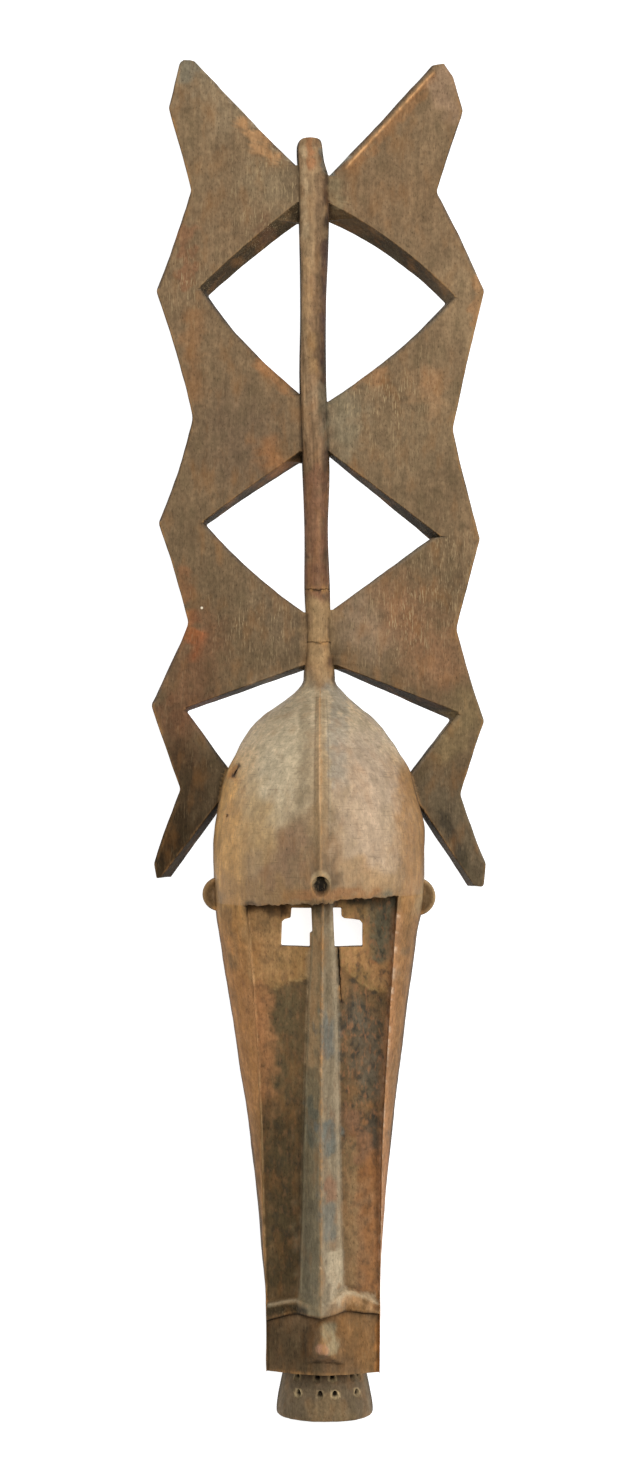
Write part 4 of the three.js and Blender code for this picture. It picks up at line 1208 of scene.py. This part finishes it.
# Bare wood shows on the worn edges in flecks, scratches gather where the wood has been scuffed,
# and one fleck of pale paint is on the left wing
for name, low, high, least in (("flecks", 0.35, 0.6, 0.15), ("warmth", 0.4, 0.6, 0.35)):
    share = add("ShaderNodeMapRange", [(0, patterns[name]), (1, low), (2, high), (3, least)])
    worn = add("ShaderNodeMath", [(0, worn), (1, share)], operation="MULTIPLY")
share = add("ShaderNodeMapRange", [(0, patterns["scuffs"]), (1, 0.42), (2, 0.6), (3, 0.3)])
scuffed = add("ShaderNodeMath", [(0, share), (1, scuffed)], operation="MULTIPLY")
PAINT_AT = (-0.1395, 0.1515, WING_THICKNESS / 1000)
from_paint = add("ShaderNodeVectorMath", [(0, where), (1, PAINT_AT)], "Value", operation="DISTANCE")

# Tints: a pattern's values from low to high become a share of a colour from 0 to most, times the
# attribute within which the tint is seen, or 1.0 where that is everywhere
for source, low, high, most, within, code in (
    (patterns["wrinkles"], 0.6, 0.72, 0.35, polished, "#5d4930"),
    (patterns["scabs"], 0.47, 0.36, 0.6, crusted, "#3a3933"),
    (patterns["crumbs"], 0.52, 0.7, 0.6, crusted, "#a87650"),
    (patterns["warmth"], 0.52, 0.74, 0.3, 1.0, "#9c6a38"),
    (patterns["warmth"], 0.48, 0.26, 0.3, 1.0, "#594f35"),
    (patterns["flecks"], 0.3, 0.26, 0.5, 1.0, "#2a2017"),
    # dirt and painted shade in corners and creases
    (hollow_dirt_and_shade, 0.0, 1.0, 0.6, 1.0, "#231a11"),
    (patterns["scrapes"], 0.65, 0.69, 0.6, scuffed, "#b9a078"),
    (patterns["scratches"], 0.65, 0.68, 0.6, scuffed, "#b9a078"),
    (patterns["nicks"], 0.66, 0.69, 0.6, scuffed, "#b9a078"),
    (worn, 0.0, 1.0, 1.0, 1.0, "#bd8d58"),
    (from_paint, 0.0018, 0.0011, 1.0, 1.0, "#efe0c4"),
):
    share = add("ShaderNodeMapRange", [(0, source), (1, low), (2, high), (4, most)])
    share = add("ShaderNodeMath", [(0, share), (1, within)], operation="MULTIPLY")
    mixed = [(0, share), (6, colour), (7, (*linear(code), 1))]
    colour = add("ShaderNodeMix", mixed, output=2, data_type="RGBA")

# Polished wood is smoother and shines more
shader = tree.nodes["Principled BSDF"]
raised = add("ShaderNodeMath", [(0, patterns["grain"]), (1, patterns["mottle"])])
bumps = add("ShaderNodeBump", [("Strength", 0.6), ("Distance", 0.0008), ("Height", raised)])
for socket, value in (
    ("Base Color", colour),
    ("Roughness", add("ShaderNodeMapRange", [(0, polished), (3, 0.7), (4, 0.56)])),
    ("Specular IOR Level", add("ShaderNodeMapRange", [(0, polished), (3, 0.1), (4, 0.28)])),
    ("Normal", bumps),
):
    tree.links.new(value, shader.inputs[socket])
# The cuts leave an empty material behind
mask.data.materials.clear()
mask.data.materials.append(wood)
mask.data.shade_smooth()
mask.data.set_sharp_from_angle(angle=math.radians(38))
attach(mask, "root")
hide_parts("nwenka_mask")


# Light table: a sheet of white acrylic, lit from below, on which the mask lies for the photograph.
# Its even glow gives the blank ground behind the mask, in the eye openings too.
TABLE_SIZE = 14
TABLE_TOP_Z = -0.0006
bpy.ops.mesh.primitive_plane_add(size=TABLE_SIZE, location=(0, 0, TABLE_TOP_Z))
floor = bpy.context.object
floor.name = "light_table"
glow = bpy.data.materials.new("white acrylic, lit from below")
glow.use_nodes = True
glow_shader = glow.node_tree.nodes["Principled BSDF"]
for socket, value in (
    ("Base Color", (*linear("#cbcbcb"), 1)),
    ("Emission Color", (*linear("#ffffff"), 1)),
    ("Emission Strength", 0.9),
):
    glow_shader.inputs[socket].default_value = value
floor.data.materials.append(glow)


# Studio: a soft lamp in front, one nearly as strong on the right and a weaker one on the left,
# turned to the mask, in a dim room. Each has its place and size in metres and its power in watts
for name, place_at, size, power in (
    ("front", (0.45, 0.3, 3.1), 1.0, 44),
    ("right", (2.2, 0.4, 2.1), 1.2, 40),
    ("left", (-2.3, 0.4, 2.0), 1.2, 18),
):
    lamp = bpy.data.lights.new(name, "AREA")
    lamp.size = size
    lamp.energy = power
    light = bpy.data.objects.new(name, lamp)
    light.location = place_at
    lean = math.atan2(math.hypot(place_at[0], place_at[1]), place_at[2])
    light.rotation_euler = (lean, 0, math.atan2(place_at[0], -place_at[1]))
    bpy.context.scene.collection.objects.link(light)

world = bpy.data.worlds.new("studio")
world.use_nodes = True
background = world.node_tree.nodes["Background"]
background.inputs["Color"].default_value = (*linear("#ffffff"), 1)
background.inputs["Strength"].default_value = 0.16
bpy.context.scene.world = world
bpy.context.scene.view_settings.view_transform = "Standard"

# Camera: straight above the mask, as the photograph looks at it. The picture is 1481 elements
# high, and the lens is as long as 3027 of them
PICTURE_HEIGHT = 1481
LENS_IN_ELEMENTS = 3027
CAMERA_PLACE = (0, -0.005, 3.6)
lens = bpy.data.cameras.new("camera")
lens.lens = lens.sensor_width * LENS_IN_ELEMENTS / PICTURE_HEIGHT
camera = bpy.data.objects.new("camera", lens)
camera.location = CAMERA_PLACE
bpy.context.scene.collection.objects.link(camera)
bpy.context.scene.camera = camera
